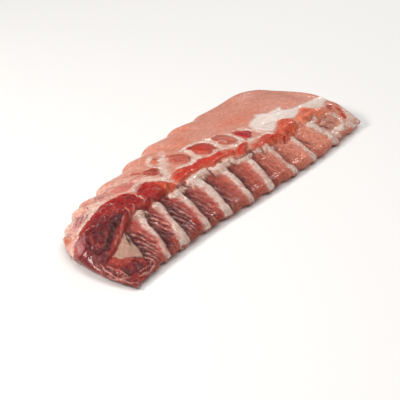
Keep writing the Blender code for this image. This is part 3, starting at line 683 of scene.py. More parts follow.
    # ---- muscles on the crest and beyond it
    d, m_chunk = T.muscle(CHUNK, lin(164, 44, 36), lin(138, 26, 25), 6, 2.6, 1.5, 1.0, 0.6, 0.45, 0.6)
    T.h += m_chunk*(1.5*mid + 0.8*fine)
    T.lay(0.6*m_chunk*step(0.05, 0.5, -mid), lin(84, 22, 28))
    T.lay(0.4*m_chunk*step(0.2, 0.6, mid + 0.5*fine), lin(196, 96, 84))
    # a sunken hollow in the chunk, painted dark as shade in it
    cc = np.exp(-(((xw + 202)/7)**2 + ((yw + 45)/5)**2))
    T.lay(0.85*cc, lin(74, 26, 30))
    T.h -= 2.0*cc
    T.lay(0.8*np.exp(-(((xw + 206)/9)**2 + ((yw + 31)/3.0)**2)), lin(186, 70, 52))
    for poly, rim_c, core_c, reach, rise, soft, groove in LENSES:
        T.muscle(poly, lin(*rim_c), lin(*core_c), reach, rise, soft + 0.5, 0.8, 0.7*groove, 0.5, 0.3)
    d, m = T.muscle(BIG_MUSCLE, lin(180, 68, 54), C_CRIMSON, 5, 1.6, 1.2, 1.4, 1.2, 0.30, 0.30)
    edge = m*step(7, 1, d)
    T.lay(0.6*edge*step(-0.1, 0.5, mid)*step(8, 20, y), lin(200, 96, 68))
    heart = step(-5, 6, sdf(xw, yw, HEART))
    T.lay(m*heart*0.88, lin(108, 29, 32))
    T.lay(m*0.9*step(-3, 5, sdf(xw, yw, HEART_DARK)), lin(80, 22, 27))
    red = step(-2.5, 2.5, sdf(xw, yw, RED_LOBE))
    T.lay(m*red*0.9, lin(178, 40, 31))
    T.lay(m*red*0.6*step(-90, -108, x), lin(158, 30, 34))
    T.lay(m*(1 - red)*(1 - heart)*0.5*step(0.1, 0.5, -mid), lin(118, 30, 32))
    # the bundles of the big muscle, with creases between them
    crease = np.abs(fbm(xw*0.9 + yw*0.25, yw*1.05 - xw*0.3, 15, 2, 41))
    T.h += m*4.6*np.clip(crease, 0, 0.35)*(1 - 0.6*red)
    # the dark line along each crease is painted shade
    T.lay(m*0.7*np.exp(-(crease/0.05)**2)*(1 - 0.5*red), lin(74, 22, 28))
    dl = sdf(xw, yw, RED_LOBE)
    T.h += m*2.2*edge_round(np.clip(dl + 1, 0, None), 9.0) - m*1.2*np.exp(-((dl + 1.5)/1.8)**2)
    T.h += m*(1.0*mid + 0.42*fine + 0.1*tiny)*(1 - 0.55*red)
    # a net of fine pale lines on the big muscle, raised a little: painted highlights
    highlight_net = np.abs(fbm(x - 0.4*y, y*0.7 + x*0.2, 6, 2, 43))
    T.lay(m*0.55*np.exp(-(highlight_net/0.045)**2)*step(-0.1, 0.4, big + mid), lin(206, 128, 116))
    T.h += m*0.3*np.exp(-(highlight_net/0.06)**2)
    flank = m*step(-212, -200, x)*step(-120, -140, x)*step(6, -2, y)
    bars = np.sin((xw*0.55 - yw)*0.75 + 1.2*mid)
    T.lay(0.22*flank*step(0.4, 0.9, bars), lin(206, 124, 108))
    T.h += flank*0.25*bars

    for poly, rim_c, core_c, reach, rise in (
            (TIP, lin(212, 96, 56), lin(204, 78, 44), 4, 0.8),
            (RIDGE_C, lin(214, 84, 50), lin(204, 44, 26), 6, 2.8),
            (RIDGE_E, lin(218, 108, 78), lin(204, 70, 48), 6, 2.2),
            (RIDGE_G, lin(234, 142, 108), lin(230, 116, 84), 7, 2.0),
            (RIDGE_F, lin(224, 112, 78), lin(212, 84, 56), 7, 2.6),
            (RIDGE_D, lin(218, 96, 64), lin(208, 54, 36), 4, 3.0)):
        d, m = T.muscle(poly, rim_c, core_c, reach, rise, 1.8, 1.45, 0.6, 0.35, 0.6)
        T.lay(m*0.5*step(0.1, 0.6, mid)*step(1, 4, d), lin(186, 50, 38))
        T.lay(m*0.5*step(0.05, 0.6, -mid), C_ORANGE_2)
        # pale patches on the ridge lobes: painted highlights
        T.lay(m*(0.12 if poly is RIDGE_C else 0.28)*step(0.15, 0.6, fbm(x, y, 5.5, 2, 47)), lin(226, 146, 120))
        T.h += m*(0.8*mid + 0.6*fine + 0.15*tiny)
    # right end: a grey-pink muscle framed by fat, red spots behind it
    g = 1 - np.sqrt(((xw - 174)/19)**2 + ((yw + 50)/10)**2)
    m = step(-0.1, 0.25, g)
    T.lay(m, lin(198, 134, 114))
    T.lay(0.6*m*step(0.2, 0.6, strand2 + mid), lin(146, 84, 72))
    T.set(m, 0.6, 0.6, 0.6, 0.0)
    for cx, cy, rx, ry, c in ((204, -36, 6, 5, (178, 70, 56)), (206, -56, 5, 6, (182, 48, 40)), (212, -46, 4, 5, (194, 84, 64)),
                              (196, -52, 5, 4, (208, 116, 90))):
        g = 1 - np.sqrt(((xw - cx)/rx)**2 + ((yw - cy)/ry)**2)
        T.lay(0.9*step(-0.2, 0.3, g), lin(*c))
        T.h -= 0.8*step(-0.2, 0.6, g)
        T.fat = T.fat*(1 - 0.9*step(-0.2, 0.3, g))

    # ---- fat and silverskin lie over them
    for line, w0, w1, white in FAT_BANDS:
        d, side, along = line_field(xw, yw, line)
        g = 1 - d/(w0 + (w1 - w0)*along)
        m = step(-0.45, 0.55, g + 0.35*fine + 0.45*mid)
        T.lay(m*0.7, lin(220, 174, 158))
        T.fat = np.maximum(T.fat, white*m*(0.62 + 0.38*step(-0.35, 0.25, noise(x/6.5, y/6.5, 66))))
        T.h += 0.55*step(-0.1, 0.8, g)*(0.7 + 0.6*mid)
    silver = step(-2.6, 2.2, sdf(xw, yw, SILVER) + 1.3*mid + 0.7*fine)*(0.88 + 0.12*step(-0.5, 0.4, mid))
    T.lay(silver, C_SILVER)
    T.fat = T.fat*(1 - silver)
    T.lay(0.35*silver*step(0.0, 0.5, mid), lin(226, 206, 204))
    T.lay(0.35*silver*step(0.1, 0.6, -mid - 0.3*big), lin(232, 190, 174))
    T.set(silver, 0.12, 0.03, 1.5)
    T.h += silver*(0.45 + 0.25*mid)
    seam = np.abs(fbm(x, y, 18, 2, 61))
    T.fat = np.maximum(T.fat, 0.6*step(0.045, 0.0, seam)*loin*step(40, -40, x))

    # ---- cut left end: pale layers along the lower edge
    v = np.clip((y - yn)/(yf - yn), 0, 1)
    le = x - end_curve(LEFT_END, v)[:, 0]
    zone = step(11, 6, le)*step(2, -14, y)
    layers = np.sin(le*1.5 + 1.3*fbm(x, y, 20, 2, 71) + 1.2)
    T.lay(0.5*zone*step(0.55, 0.98, layers)*step(-0.3, 0.5, mid + 0.4*big), lin(218, 156, 142))
    T.lay(0.7*zone*step(0.1, -0.8, layers), lin(92, 28, 32))
    T.h += zone*0.2*layers + zone*0.4*fine
    T.set(zone, 0.7, 0.4)
    torn = step(10, 2, le)*step(0, 12, y)*step(26, 18, y)
    T.lay(0.7*torn*step(-0.1, 0.4, fine + mid), lin(120, 34, 36))
    T.h += 0.5*torn*fine
    # small crumbs break up the wet face of the torn end
    crumb = step(20, 9, le)*step(-22, -8, y)*step(38, 24, y)
    T.h += crumb*(0.75*fbm(x, y, 3.6, 2, 131) + 0.35*noise((x + 0.6*y)/2.2, (y - 0.6*x)/4.4, 132))
    # pale specks on the crumbs: painted highlights
    T.lay(0.45*crumb*step(0.25, 0.6, noise((x + 0.5*y)/2.6, (y - 0.5*x)/5.5, 133)), lin(206, 140, 132))

    # ---- the listed patches and streaks
    for cx, cy, rx, ry, turn, colour, force, rise in PATCHES:
        T.spot(cx, cy, rx, ry, turn, colour, force, rise)
    for line, width, colour, force, rise in STREAKS:
        T.stripe(line, width, colour, force, rise)

    # ---- clefts: sunken lines with painted shade in them
    for line, cw in CLEFTS:
        d, side, along = line_field(xw, yw, line)
        g = np.exp(-(d/cw)**2)
        T.lay(0.8*g, lin(92, 40, 40))
        T.fat *= 1 - 0.9*g
        T.h -= 1.6*g
    # a small cut vessel at the sawn edge
    g = 1 - np.hypot(x + 71.3, y + 55.2)/3.4
    T.lay(step(0.0, 0.25, g), lin(120, 36, 30))
    T.lay(step(0.35, 0.6, g), lin(190, 60, 44))

    calm = 1 - 0.85*loin*step(-100, -30, x)
    T.h += calm*(0.28*mid + 0.18*fine + 0.07*tiny)
    T.fat = np.clip(T.fat, 0, 1)
    shade = (1 + 0.09*big + calm*(0.08*mid + 0.07*fine + 0.04*tiny))[:, None]
    T.col = np.clip(T.col*shade, 0.002, 1)
    T.dmin, T.t = dmin, t
    return T


WEDGE = [(-176, -9), (-190, -12), (-210, -17), (-205, -26), (-188, -39), (-183, -28), (-179, -18)]

# ---- the meat -------------------------------------------------------------------
NU, NV, ROWS = 452, 148, 6


def top_height(u, v, x, y, h):
    z = near_rim(x, y, roof(x, y) + h)
    width = far_y(x) - near_y(x)
    z = FAR_RIM + (z - FAR_RIM)*edge_round((1 - v)*width, FAR_RADIUS)
    low = 5.0 + 4.0*smooth(v*1.4)
    z = low + (z - low)*edge_round(u*443 + 0.5, LEFT_RADIUS)
    low = 9.0 + 17.0*smooth(v*1.8) - 3.0*v
    return low + (z - low)*edge_round((1 - u)*443 + 0.3, RIGHT_RADIUS)


def foot_shift(u, v):
    """How far the foot stands in from the rim, in x and y."""
    dy = SAW_UNDERCUT*(1 - v)**6 - FAR_TUCK*v**6
    dx = END_TUCK*((1 - u)**10 - u**10)
    dx = dx + 6.5*(1 - u)**10*step(0.0, 0.08, v)*step(0.8, 0.55, v)
    return dx, dy


def build_meat():
    uu, vv = np.meshgrid(np.linspace(0, 1, NU + 1), np.linspace(0, 1, NV + 1), indexing='ij')
    u, v = uu.ravel(), vv.ravel()
    p = plan(u, v)
    x, y = p[:, 0], p[:, 1]
    T = tissue(x, y)
    z = np.maximum(top_height(u, v, x, y, T.h), 2.2)
    top = np.stack([x, y, z], 1)

    index = np.arange((NU + 1)*(NV + 1)).reshape(NU + 1, NV + 1)
    loop = np.concatenate([index[:-1, 0], index[NU, :-1], index[:0:-1, NV], index[0, :0:-1]])
    count = len(loop)
    lu, lv = u[loop], v[loop]
    rim = top[loop]
    arc = np.arange(count)*1.0
    sx, sy = foot_shift(lu, lv)

    def wall(t):
        """A row of the wall, t from 0 at the rim to 1 at the foot."""
        q = rim.copy()
        round_in = 1 - np.sqrt(max(0.0, 1 - t*t))
        near_side = (1 - lv)**6
        q[:, 1] += sy*(t*near_side + round_in*(1 - near_side))
        q[:, 0] += sx*(0.5*t + 0.5*round_in)
        bump = 0.55*fbm(arc, t*9 + 0*arc, 7, 3, 81) + 0.3*noise(arc/2.3, t*5 + 0*arc, 83)
        q[:, 1] += bump*np.where(lv < 0.01, -1, np.where(lv > 0.99, 1, 0))*4*t*(1 - t)*1.2
        q[:, 0] += bump*np.where(lu < 0.01, -1, np.where(lu > 0.99, 1, 0))*4*t*(1 - t)*1.2
        q[:, 2] = rim[:, 2]*(1 - t)
        return q

    rows = [wall(k/ROWS) for k in range(1, ROWS)]
    rows.append(wall(0.985))
    rows[-1][:, 2] = 0.45 + 0.25*fbm(arc, 0*arc, 9, 2, 85)

    # underside, at half the fineness
    bi, bj = np.meshgrid(np.arange(0, NU + 1, 2), np.arange(0, NV + 1, 2), indexing='ij')
    bu, bv = bi.ravel()/NU, bj.ravel()/NV
    bp = plan(bu, bv)
    dx, dy = foot_shift(bu, bv)
    bx, by = bp[:, 0] + dx, bp[:, 1] + dy
    inner = edge_round(np.minimum(np.minimum(bu, 1 - bu)*443, np.minimum(bv, 1 - bv)*140), 10)
    bz = (0.35 + 0.45*fbm(bx, by, 18, 3, 91) + 0.2*fbm(bx, by, 5, 2, 92)).clip(0, None)*inner
    bottom = np.stack([bx, by, bz], 1)

    n_top = len(top)
    n_row = count
    base_rows = [n_top + k*n_row for k in range(len(rows))]
    base_bottom = n_top + len(rows)*n_row
    verts = np.concatenate([top] + rows + [bottom])

    faces = []
    a, b = index[:-1, :-1].ravel(), index[1:, :-1].ravel()
    c, d = index[1:, 1:].ravel(), index[:-1, 1:].ravel()
    faces += np.stack([a, b, c, d], 1).tolist()
    k0 = np.arange(count)
    k1 = (k0 + 1) % count
    upper = loop
    for base in base_rows:
        lower = base + k0
        faces += np.stack([upper[k0], lower[k0], lower[k1], upper[k1]], 1).tolist()
        upper = lower
    bw = NV//2 + 1
    bindex = (base_bottom + np.arange((NU//2 + 1)*bw)).reshape(NU//2 + 1, bw)
    bloop = np.concatenate([bindex[:-1, 0], bindex[-1, :-1], bindex[:0:-1, -1], bindex[0, :0:-1]])
    half = count//2
    q0 = np.arange(half)
    faces += np.stack([upper[2*q0], bloop[q0], bloop[(q0 + 1) % half],
                       upper[(2*q0 + 2) % count], upper[2*q0 + 1]], 1).tolist()
    a, b = bindex[:-1, :-1].ravel(), bindex[1:, :-1].ravel()
    c, d = bindex[1:, 1:].ravel(), bindex[:-1, 1:].ravel()
    faces += np.stack([a, d, c, b], 1).tolist()

    # paint for walls and underside
    near_side = (1 - lv)**8
    left_side = (1 - lu)**10
    right_side = lu**10
    far_side = np.clip(1 - near_side - left_side - right_side, 0, 1)

    def wall_paint(t):
        col = T.col[loop].copy()
        fat = T.fat[loop].copy()
        n1 = step(-0.1, 0.5, fbm(arc, t*14 + 0*arc, 9, 3, 95))[:, None]
        c_near = lin(176, 92, 72)*(1 - n1) + lin(132, 50, 42)*n1
        m = near_side[:, None]*min(1.0, 0.15 + 1.1*t)
        col = col*(1 - m) + c_near*m
        fat = fat*(1 - near_side*min(1.0, 1.6*t))
        m = left_side[:, None]*min(1.0, 2*t)
        col = col*(1 - m) + (lin(132, 42, 42)*(1 - n1) + lin(92, 28, 32)*n1)*m
        stripes = step(0.0, 0.5, noise(arc/24, t*4.5 + 0.6*noise(arc/9, arc*0, 97), 98))
        fat = np.maximum(fat, (0.7*left_side + right_side)*stripes*0.9*min(1.0, 2*t))
        m = right_side[:, None]*min(1.0, 2*t)
        col = col*(1 - m) + lin(200, 122, 102)*m
        m = far_side[:, None]*min(1.0, 1.2*t)
        col = col*(1 - m) + lin(208, 142, 122)*m
        fat = np.maximum(fat, far_side*0.6*step(0.1, 0.5, fbm(arc, t*10 + 0*arc, 16, 2, 99))*t)
        return col, np.clip(fat, 0, 1)

    cols, fats, angs, strs, grs = [T.col], [T.fat], [T.angle], [T.streak], [T.grain]
    for k in range(len(rows)):
        c_, f_ = wall_paint((k + 1)/ROWS)
        cols.append(c_)
        fats.append(f_)
        angs.append(T.angle[loop])
        strs.append(np.full(count, 0.35))
        grs.append(np.full(count, 0.4))
    nb = step(0.0, 0.5, fbm(bx, by, 30, 3, 101))[:, None]
    cols.append(lin(222, 172, 152)*(1 - nb) + lin(200, 122, 104)*nb)
    fats.append(0.04 + 0.9*step(-0.05, 0.12, fbm(bx, by, 60, 3, 103)))
    angs.append(np.full(len(bx), 1.3))
    strs.append(np.full(len(bx), 0.15))
    grs.append(np.full(len(bx), 0.05))
    return verts, faces, np.concatenate(cols), np.concatenate(fats), np.concatenate(angs), np.concatenate(strs), np.concatenate(grs)


def to_object(name, verts, faces, col, fat, fibre, streak, grain):
    mesh = bpy.data.meshes.new(name)
    q = np.asarray(verts, float).copy()
    q[:, 0] -= ORIGIN[0]
    q[:, 1] -= ORIGIN[1]
    mesh.from_pydata((q*MM).tolist(), [], faces)
    mesh.validate()
    n = len(mesh.vertices)
    a = mesh.attributes.new("muscle", 'FLOAT_COLOR', 'POINT')
    a.data.foreach_set("color", np.concatenate([col, np.ones((n, 1))], 1).astype(np.float32).ravel())
    a = mesh.attributes.new("masks", 'FLOAT_COLOR', 'POINT')
    a.data.foreach_set("color", np.stack([fat, streak, grain, np.ones(n)], 1).astype(np.float32).ravel())
    a = mesh.attributes.new("fibre", 'FLOAT_VECTOR', 'POINT')
    a.data.foreach_set("vector", fibre.astype(np.float32).ravel())
    mesh.shade_smooth()
    obj = bpy.data.objects.new(name, mesh)
    bpy.context.scene.collection.objects.link(obj)
    return obj


def fibre_coords(verts, angle):
    """Coordinates along and across the fibres, in millimetres."""
    # angles are held in a few steps, so that neighbouring fibres stay in line
    a = np.round(angle*8)/8
    x, y, z = verts[:, 0], verts[:, 1], verts[:, 2]
    return np.stack([x*np.sin(a) - y*np.cos(a), x*np.cos(a) + y*np.sin(a), z], 1)


# ---- bones ------------------------------------------------------------------------
def skin_height(x, y, T):
    return near_rim(x, y, roof(x, y) + T.h)


def build_bone(name, line, seed):
    """A bar that lies on the meat's swell, a little proud of it, its rim dipping under."""
    first = name == "rib_01"
    n_s, n_t, n_b = (40, 30, 8) if first else (96, 30, 8)
    f = np.linspace(0, 1, n_s)
    a_top = np.linspace(1, -1, n_t)
    if first:
        apex, left_c, right_c = np.array([-177.5, -10.5]), np.array([-208, -18.0]), np.array([-188.5, -37.5])
        g = 0.06 + 0.90*f[:, None, None]
        lf, rt = apex + (left_c - apex)*g, apex + (right_c - apex)*g
        A = a_top[None, :, None]
        P = (lf + rt)/2 + (rt - lf)/2*(-A)
        cut = P[-1].mean(0) - P[0].mean(0)
    else:
        pts = np.asarray(line, float)
        end = pts[-1, :2] + (pts[-1, :2] - pts[-2, :2])/np.hypot(*(pts[-1, :2] - pts[-2, :2]))*3.0
        end[1] = near_line(end[0]) - 0.3
        pts = np.vstack([pts[:-1], [end[0], end[1], pts[-1, 2]]])
        c = cubic(f, np.linspace(0, 1, len(pts)), pts)
        ahead = np.gradient(c[:, :2], axis=0)
        ahead /= np.hypot(ahead[:, 0], ahead[:, 1])[:, None]
        length = np.hypot(*(c[-1, :2] - c[0, :2]))
        s_mm = f*length
        cap = edge_round(s_mm + 0.4, 6.0)
        wander = 1 + 0.14*noise(s_mm/8 + seed*7.3, 0*s_mm + seed, 200 + seed)
        wander2 = 1 + 0.14*noise(s_mm/7 + seed*3.1, 0*s_mm + seed + 40, 210 + seed)
        A = a_top[None, :]
        half = c[:, 2][:, None]*cap[:, None]*np.where(A > 0, wander[:, None], wander2[:, None])*0.97
        # the bone's end is cut along the sawn edge, not square to the bone
        turn = step(0.5, 1.0, f)[:, None]
        across = np.stack([-ahead[:, 1], ahead[:, 0]], -1)*(1 - turn) + np.array([[1.0, 0.0]])*turn
        across /= np.hypot(across[:, 0], across[:, 1])[:, None]
        P = c[:, None, :2] + across[:, None, :]*(A*half)[..., None]
        rim_y = near_line(P[..., 0]) - 0.3
        P[..., 1] = np.where(np.arange(n_s)[:, None] == n_s - 1, rim_y, np.maximum(P[..., 1], rim_y + 0.02*(n_s - 1 - np.arange(n_s))[:, None]))
    x, y = P[..., 0].ravel(), P[..., 1].ravel()
    T = tissue(x, y)
    ys = np.maximum(y, near_y(x) + 0.02)
    z = skin_height(x, ys, T)
    edge = np.abs(np.broadcast_to(a_top[None, :], (n_s, n_t))).ravel()
    ends = np.minimum(np.repeat(f, n_t)*(90 if first else 60), (np.repeat(1 - f, n_t)*60 + (3 if not first else 0)))
    sunk = (0.0 if first else 1.0)*step(0.80, 1.0, np.repeat(f, n_t))
    lift = (0.75 - 0.25*np.repeat(f, n_t)**2)*(1 - 0.55*sunk)*(1 - edge**4) - 0.35 + 0.10*sunk + 0.30*fbm(x, y, 3.0, 2, 220 + seed)*(1 - edge**6) - 0.6*np.clip(1 - ends/3.0, 0, 1) - (0.0 if first else 0.35)*np.clip(1 - np.repeat(f, n_t)/0.25, 0, 1)
    z = z + (lift if not first else lift*0.9)
    top = np.stack([x, y, z], -1).reshape(n_s, n_t, 3)
    # belly: from the last edge back to the first, below the surface
    ab = np.linspace(-1, 1, n_b + 2)[1:-1]
    left_p, right_p = top[:, -1], top[:, 0]
    w = ((ab + 1)/2)[None, :, None]
    belly = left_p[:, None]*(1 - w) + right_p[:, None]*w
    deep = 3.2 if not first else 3.0
    belly[..., 2] = (left_p[:, None, 2]*(1 - w[..., 0]) + right_p[:, None, 2]*w[..., 0]) - deep*np.sqrt(np.clip(1 - ab**2, 0, 1))[None, :]
    belly[..., 2] = np.maximum(belly[..., 2], 0.8)
    ring = np.concatenate([top, belly], 1)
    n_a = n_t + n_b
    pts3 = ring.reshape(-1, 3)
    grid = lambda arr, fill: np.concatenate([np.asarray(arr).reshape(n_s, n_t, -1), np.repeat(np.asarray(fill, float).reshape(1, 1, -1), n_s, 0).repeat(n_b, 1)], 1).reshape(n_s*n_a, -1)
    col = grid(T.col, lin(190, 120, 104))
    fat, stk, grn, ang = (grid(v, [0.0])[:, 0] for v in (T.fat, T.streak, T.grain, T.angle))
    idx = np.arange(n_s*n_a).reshape(n_s, n_a)
    nxt = np.roll(idx, -1, 1)
    faces = np.stack([idx[:-1].ravel(), idx[1:].ravel(), nxt[1:].ravel(), nxt[:-1].ravel()], 1).tolist()

    def close(ring_ids, flip, hub, rim_c):
        nonlocal pts3, col, fat, stk, grn, ang
        mid_p = pts3[ring_ids].mean(0)
        mid_p[2] = pts3[ring_ids][:, 2].min()*0.5 + pts3[ring_ids][:, 2].max()*0.5
        prev = ring_ids
        for k in range(1, 5):
            w_ = 1 - k/5
            new = mid_p + (pts3[ring_ids] - mid_p)*w_
            ids = np.arange(len(pts3), len(pts3) + len(new))
            pts3 = np.concatenate([pts3, new])
            tone = step(0.85, 0.5, w_)
            col = np.concatenate([col, (rim_c*(1 - tone) + hub*tone)[None].repeat(len(new), 0)])
            fat, stk = np.concatenate([fat, np.zeros(len(new))]), np.concatenate([stk, np.full(len(new), 0.1)])
            grn, ang = np.concatenate([grn, np.full(len(new), 0.5)]), np.concatenate([ang, np.zeros(len(new))])
            for i in range(len(prev)):
                j = (i + 1) % len(prev)
                faces.append([prev[i], prev[j], ids[j], ids[i]] if flip else [prev[j], prev[i], ids[i], ids[j]])
            prev = ids
        faces.append(list(prev) if flip else list(prev[::-1]))
    close(idx[0], True, lin(206, 168, 150), lin(206, 168, 150))
    close(idx[-1], False, lin(158, 66, 54) if not first else lin(196, 150, 130), lin(212, 160, 140))
    if not first:
        faces = [f_[::-1] for f_ in faces]
    return pts3, faces, np.clip(col, 0.002, 1), np.clip(fat, 0, 1), ang, stk, grn


# ---- materials --------------------------------------------------------------------
def tissue_material(name, subsurface, coat, fat_white):
    mat = bpy.data.materials.new(name)
    mat.use_nodes = True
    nt = mat.node_tree
    nt.nodes.clear()

    def node(kind, x=0, y=0, **props):
        nd = nt.nodes.new(kind)
        nd.location = (x, y)
        for k, v in props.items():
            setattr(nd, k, v)
        return nd

    def link(a, b):
        nt.links.new(a, b)

    def calc(op, a, b=None):
        nd = node("ShaderNodeMath", operation=op)
        for k, val in enumerate((a, b)):
            if val is None:
                continue
            if isinstance(val, (int, float)):
                nd.inputs[k].default_value = val
            else:
                link(val, nd.inputs[k])
        return nd.outputs[0]

    def ramp(value, lo, hi, out_lo=0.0, out_hi=1.0):
        nd = node("ShaderNodeMapRange", interpolation_type='SMOOTHSTEP')
        link(value, nd.inputs["Value"])
        nd.inputs["From Min"].default_value = lo
        nd.inputs["From Max"].default_value = hi
        nd.inputs["To Min"].default_value = out_lo
        nd.inputs["To Max"].default_value = out_hi
        return nd.outputs["Result"]

    def mix(fac, a, b, mode='MIX'):
        nd = node("ShaderNodeMix", data_type='RGBA', blend_type=mode, clamp_factor=True)
        for sock, val in ((nd.inputs[0], fac), (nd.inputs[6], a), (nd.inputs[7], b)):
            if isinstance(val, (int, float, tuple)):
                sock.default_value = val
            else:
                link(val, sock)
        return nd.outputs[2]

    def noise_tex(vector, scale, detail=3.0, rough=0.55, distort=0.0):
        nd = node("ShaderNodeTexNoise", noise_dimensions='3D')
        link(vector, nd.inputs["Vector"])
        nd.inputs["Scale"].default_value = scale
        nd.inputs["Detail"].default_value = detail
        nd.inputs["Roughness"].default_value = rough
        nd.inputs["Distortion"].default_value = distort
        return nd.outputs["Fac"]

    def stretched(scale):
        nd = node("ShaderNodeMapping", vector_type='POINT')
        link(fibre, nd.inputs["Vector"])
        nd.inputs["Scale"].default_value = scale
        return nd.outputs[0]

    out = node("ShaderNodeOutputMaterial", 900, 0)
    bsdf = node("ShaderNodeBsdfPrincipled", 600, 0)
    link(bsdf.outputs[0], out.inputs[0])
    muscle = node("ShaderNodeAttribute", attribute_name="muscle").outputs["Color"]
    masks = node("ShaderNodeSeparateColor")
    link(node("ShaderNodeAttribute", attribute_name="masks").outputs["Color"], masks.inputs[0])
    fat, streak, grain = masks.outputs[0], masks.outputs[1], masks.outputs[2]
    fibre = node("ShaderNodeAttribute", attribute_name="fibre").outputs["Vector"]
    obj = node("ShaderNodeTexCoord").outputs["Object"]

    fibres = noise_tex(stretched((0.05, 0.50, 0.3)), 1.0, 4.0, 0.6, 0.5)
    lines = noise_tex(stretched((0.035, 0.30, 0.2)), 1.0, 2.0, 0.5, 0.3)
    mottle = noise_tex(obj, 170.0, 4.0, 0.62, 0.8)
    grit = noise_tex(obj, 420.0, 3.0, 0.65, 0.4)
    specks = noise_tex(obj, 900.0, 2.0, 0.6)
    patches = noise_tex(obj, 60.0, 3.0, 0.55, 0.5)

    # fibres: darker and lighter strands, as strong as the streak mask says
    tone = mix(ramp(fibres, 0.36, 0.64), (0.52, 0.40, 0.40, 1), (1.34, 1.30, 1.26, 1))
    body = mix(calc('MULTIPLY', streak, 0.95), muscle, mix(1.0, muscle, tone, 'MULTIPLY'))
    # fine pale membranes
    line = ramp(calc('ABSOLUTE', calc('SUBTRACT', lines, 0.5)), 0.030, 0.0, 0.0, 1.0)
    body = mix(calc('MULTIPLY', calc('MULTIPLY', line, ramp(streak, 0.35, 0.85)), 0.6), body, (0.80, 0.44, 0.36, 1))
    # granular mottling
    g_dark = calc('MULTIPLY', ramp(grit, 0.50, 0.34), calc('MULTIPLY', grain, 0.55))
    body = mix(g_dark, body, mix(1.0, body, (0.55, 0.38, 0.34, 1), 'MULTIPLY'))
    g_light = calc('MULTIPLY', ramp(grit, 0.56, 0.70), calc('MULTIPLY', grain, 0.30))
    body = mix(g_light, body, (0.76, 0.40, 0.32, 1))
    body = mix(calc('MULTIPLY', ramp(mottle, 0.50, 0.32, 0.0, 0.45), calc('ADD', grain, 0.12)), body, mix(1.0, body, (0.66, 0.48, 0.46, 1), 'MULTIPLY'))
    body = mix(calc('MULTIPLY', ramp(mottle, 0.58, 0.72, 0.0, 0.25), calc('ADD', grain, 0.12)), body, (0.80, 0.44, 0.35, 1))

    # fat: pale with pink clouds and pits; its edge is broken up by fine noise
    w0, w1, w2 = fat_white
    fat_col = mix(ramp(mottle, 0.38, 0.60), (w0*0.95, w1*0.78, w2*0.72, 1), (w0*1.12, w1*1.14, w2*1.15, 1))
    fat_col = mix(ramp(patches, 0.42, 0.62, 0.0, 0.5), fat_col, (w0*1.02, w1*0.84, w2*0.78, 1))
    fat_col = mix(ramp(fibres, 0.46, 0.34, 0.0, 0.45), fat_col, (w0*0.86, w1*0.58, w2*0.50, 1))
    fat_col = mix(ramp(grit, 0.42, 0.31, 0.0, 0.6), fat_col, (w0*0.55, w1*0.38, w2*0.33, 1))
    fat_col = mix(ramp(grit, 0.56, 0.68, 0.0, 0.7), fat_col, (0.93, 0.87, 0.81, 1))
    edge = calc('ADD', fat, calc('MULTIPLY', calc('SUBTRACT', mottle, 0.5), 1.2))
    edge = calc('ADD', edge, calc('MULTIPLY', calc('SUBTRACT', grit, 0.5), 0.9))
    fat_mask = ramp(edge, 0.30, 0.80)
    link(mix(fat_mask, body, fat_col), bsdf.inputs["Base Color"])

    link(calc('ADD', ramp(grit, 0.35, 0.65, 0.26, 0.46), calc('MULTIPLY', fat_mask, 0.10)), bsdf.inputs["Roughness"])
    bsdf.inputs["Specular IOR Level"].default_value = 0.25
    bsdf.inputs["IOR"].default_value = 1.38
    bsdf.inputs["Coat Weight"].default_value = coat
    bsdf.inputs["Coat Roughness"].default_value = 0.10
    bsdf.inputs["Coat IOR"].default_value = 1.34
    bsdf.inputs["Subsurface Weight"].default_value = subsurface
    bsdf.inputs["Subsurface Radius"].default_value = (1.0, 0.30, 0.20)
    bsdf.inputs["Subsurface Scale"].default_value = 0.0014

    normal = None
    rough_here = calc('ADD', grain, 0.18)
    for height, dist in ((fibres, 0.0006), (mottle, 0.0012), (grit, 0.0006), (specks, 0.00010)):
        bump = node("ShaderNodeBump")
        bump.inputs["Strength"].default_value = 1.0
        bump.inputs["Distance"].default_value = dist
        link(calc('MULTIPLY', height, {fibres: calc('ADD', 0.20, streak), mottle: rough_here, grit: rough_here}.get(height, 1.0)), bump.inputs["Height"])
        if normal is not None:
            link(normal, bump.inputs["Normal"])
        normal = bump.outputs[0]
    link(normal, bsdf.inputs["Normal"])
    return mat


meat_mat = tissue_material("raw_meat", 0.10, 0.42, (0.70, 0.55, 0.48))
bone_mat = tissue_material("rib_bone", 0.10, 0.38, (0.68, 0.54, 0.475))

verts, faces, col, fat, ang, stk, grn = build_meat()
meat = to_object("meat_tissue", verts, faces, col, fat, fibre_coords(verts, ang), stk, grn)
meat.data.materials.append(meat_mat)
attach(meat, "root")
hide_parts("meat")

for k, (name, line) in enumerate(RIBS):
    pts, fcs, bcol, bfat, bang, bstk, bgrn = build_bone(name, line, k)
    bone = to_object(name + "_bone", pts, fcs, bcol, bfat, fibre_coords(pts, bang), bstk, bgrn)
    bone.data.materials.append(bone_mat)
    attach(bone, "root")
    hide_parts(name)


# ---- floor, light and camera --------------------------------------------------------
floor_mesh = bpy.data.meshes.new("floor")
floor_mesh.from_pydata([(-12, -12, -0.0002), (12, -12, -0.0002), (12, 12, -0.0002), (-12, 12, -0.0002)], [], [(0, 1, 2, 3)])
floor = bpy.data.objects.new("floor", floor_mesh)
bpy.context.scene.collection.objects.link(floor)
fm = bpy.data.materials.new("floor")
fm.use_nodes = True
fb = fm.node_tree.nodes["Principled BSDF"]
fb.inputs["Base Color"].default_value = (0.94, 0.935, 0.925, 1)
fb.inputs["Roughness"].default_value = 0.85
floor_mesh.materials.append(fm)

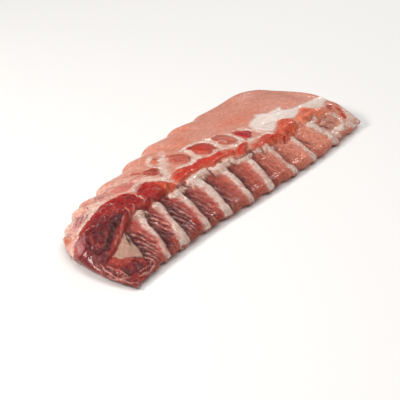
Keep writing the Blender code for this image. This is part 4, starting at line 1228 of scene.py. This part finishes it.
scene = bpy.context.scene
world = bpy.data.worlds.new("studio")
scene.world = world
world.use_nodes = True
world.node_tree.nodes["Background"].inputs[0].default_value = (1.0, 0.99, 0.98, 1)
world.node_tree.nodes["Background"].inputs[1].default_value = 0.14


def area(name, place, aim, size, power, colour=(1, 1, 1)):
    data = bpy.data.lights.new(name, 'AREA')
    data.shape = 'RECTANGLE'
    data.size, data.size_y = size
    data.energy = power
    data.color = colour
    obj = bpy.data.objects.new(name, data)
    bpy.context.scene.collection.objects.link(obj)
    obj.location = place
    obj.rotation_euler = (Vector(aim) - Vector(place)).to_track_quat('-Z', 'Y').to_euler()
    return obj


area("key", (-1.15, 0.75, 0.95), (0, 0, 0), (0.35, 0.35), 18.0, (1.0, 0.97, 0.93))
area("fill", (0.1, -1.3, 1.5), (0, 0, 0), (1.3, 1.0), 7.5, (1.0, 0.98, 0.97))
area("top", (-0.25, -0.1, 2.0), (0, 0, 0), (1.8, 1.8), 18.5, (1.0, 0.99, 0.98))
area("glint", (1.3, 0.35, 0.95), (0, 0, 0), (0.16, 0.16), 4.5, (1.0, 0.99, 0.97))

az, el, roll = math.radians(-57.48), math.radians(28.58), math.radians(0.20)
back = Vector((math.sin(az)*math.cos(el), -math.cos(az)*math.cos(el), math.sin(el)))
right = Vector((math.cos(az), math.sin(az), 0))
up = back.cross(right)
r2 = right*math.cos(roll) + up*math.sin(roll)
u2 = -right*math.sin(roll) + up*math.cos(roll)
target = Vector((-0.0375 - ORIGIN[0]*MM, -0.0090 - ORIGIN[1]*MM, 0))
cam_data = bpy.data.cameras.new("camera")
cam_data.sensor_fit = 'HORIZONTAL'
cam_data.sensor_width = 36
cam_data.lens = 1421/400*36
cam_data.clip_end = 50
cam = bpy.data.objects.new("camera", cam_data)
bpy.context.scene.collection.objects.link(cam)
cam.matrix_world = Matrix(((r2.x, u2.x, back.x, 0), (r2.y, u2.y, back.y, 0), (r2.z, u2.z, back.z, 0), (0, 0, 0, 1)))
cam.location = target + back*1.529
scene.camera = cam
scene.view_settings.view_transform = 'Standard'
scene.view_settings.look = 'None'
scene.view_settings.exposure = 0.0

bpy.context.view_layer.update()
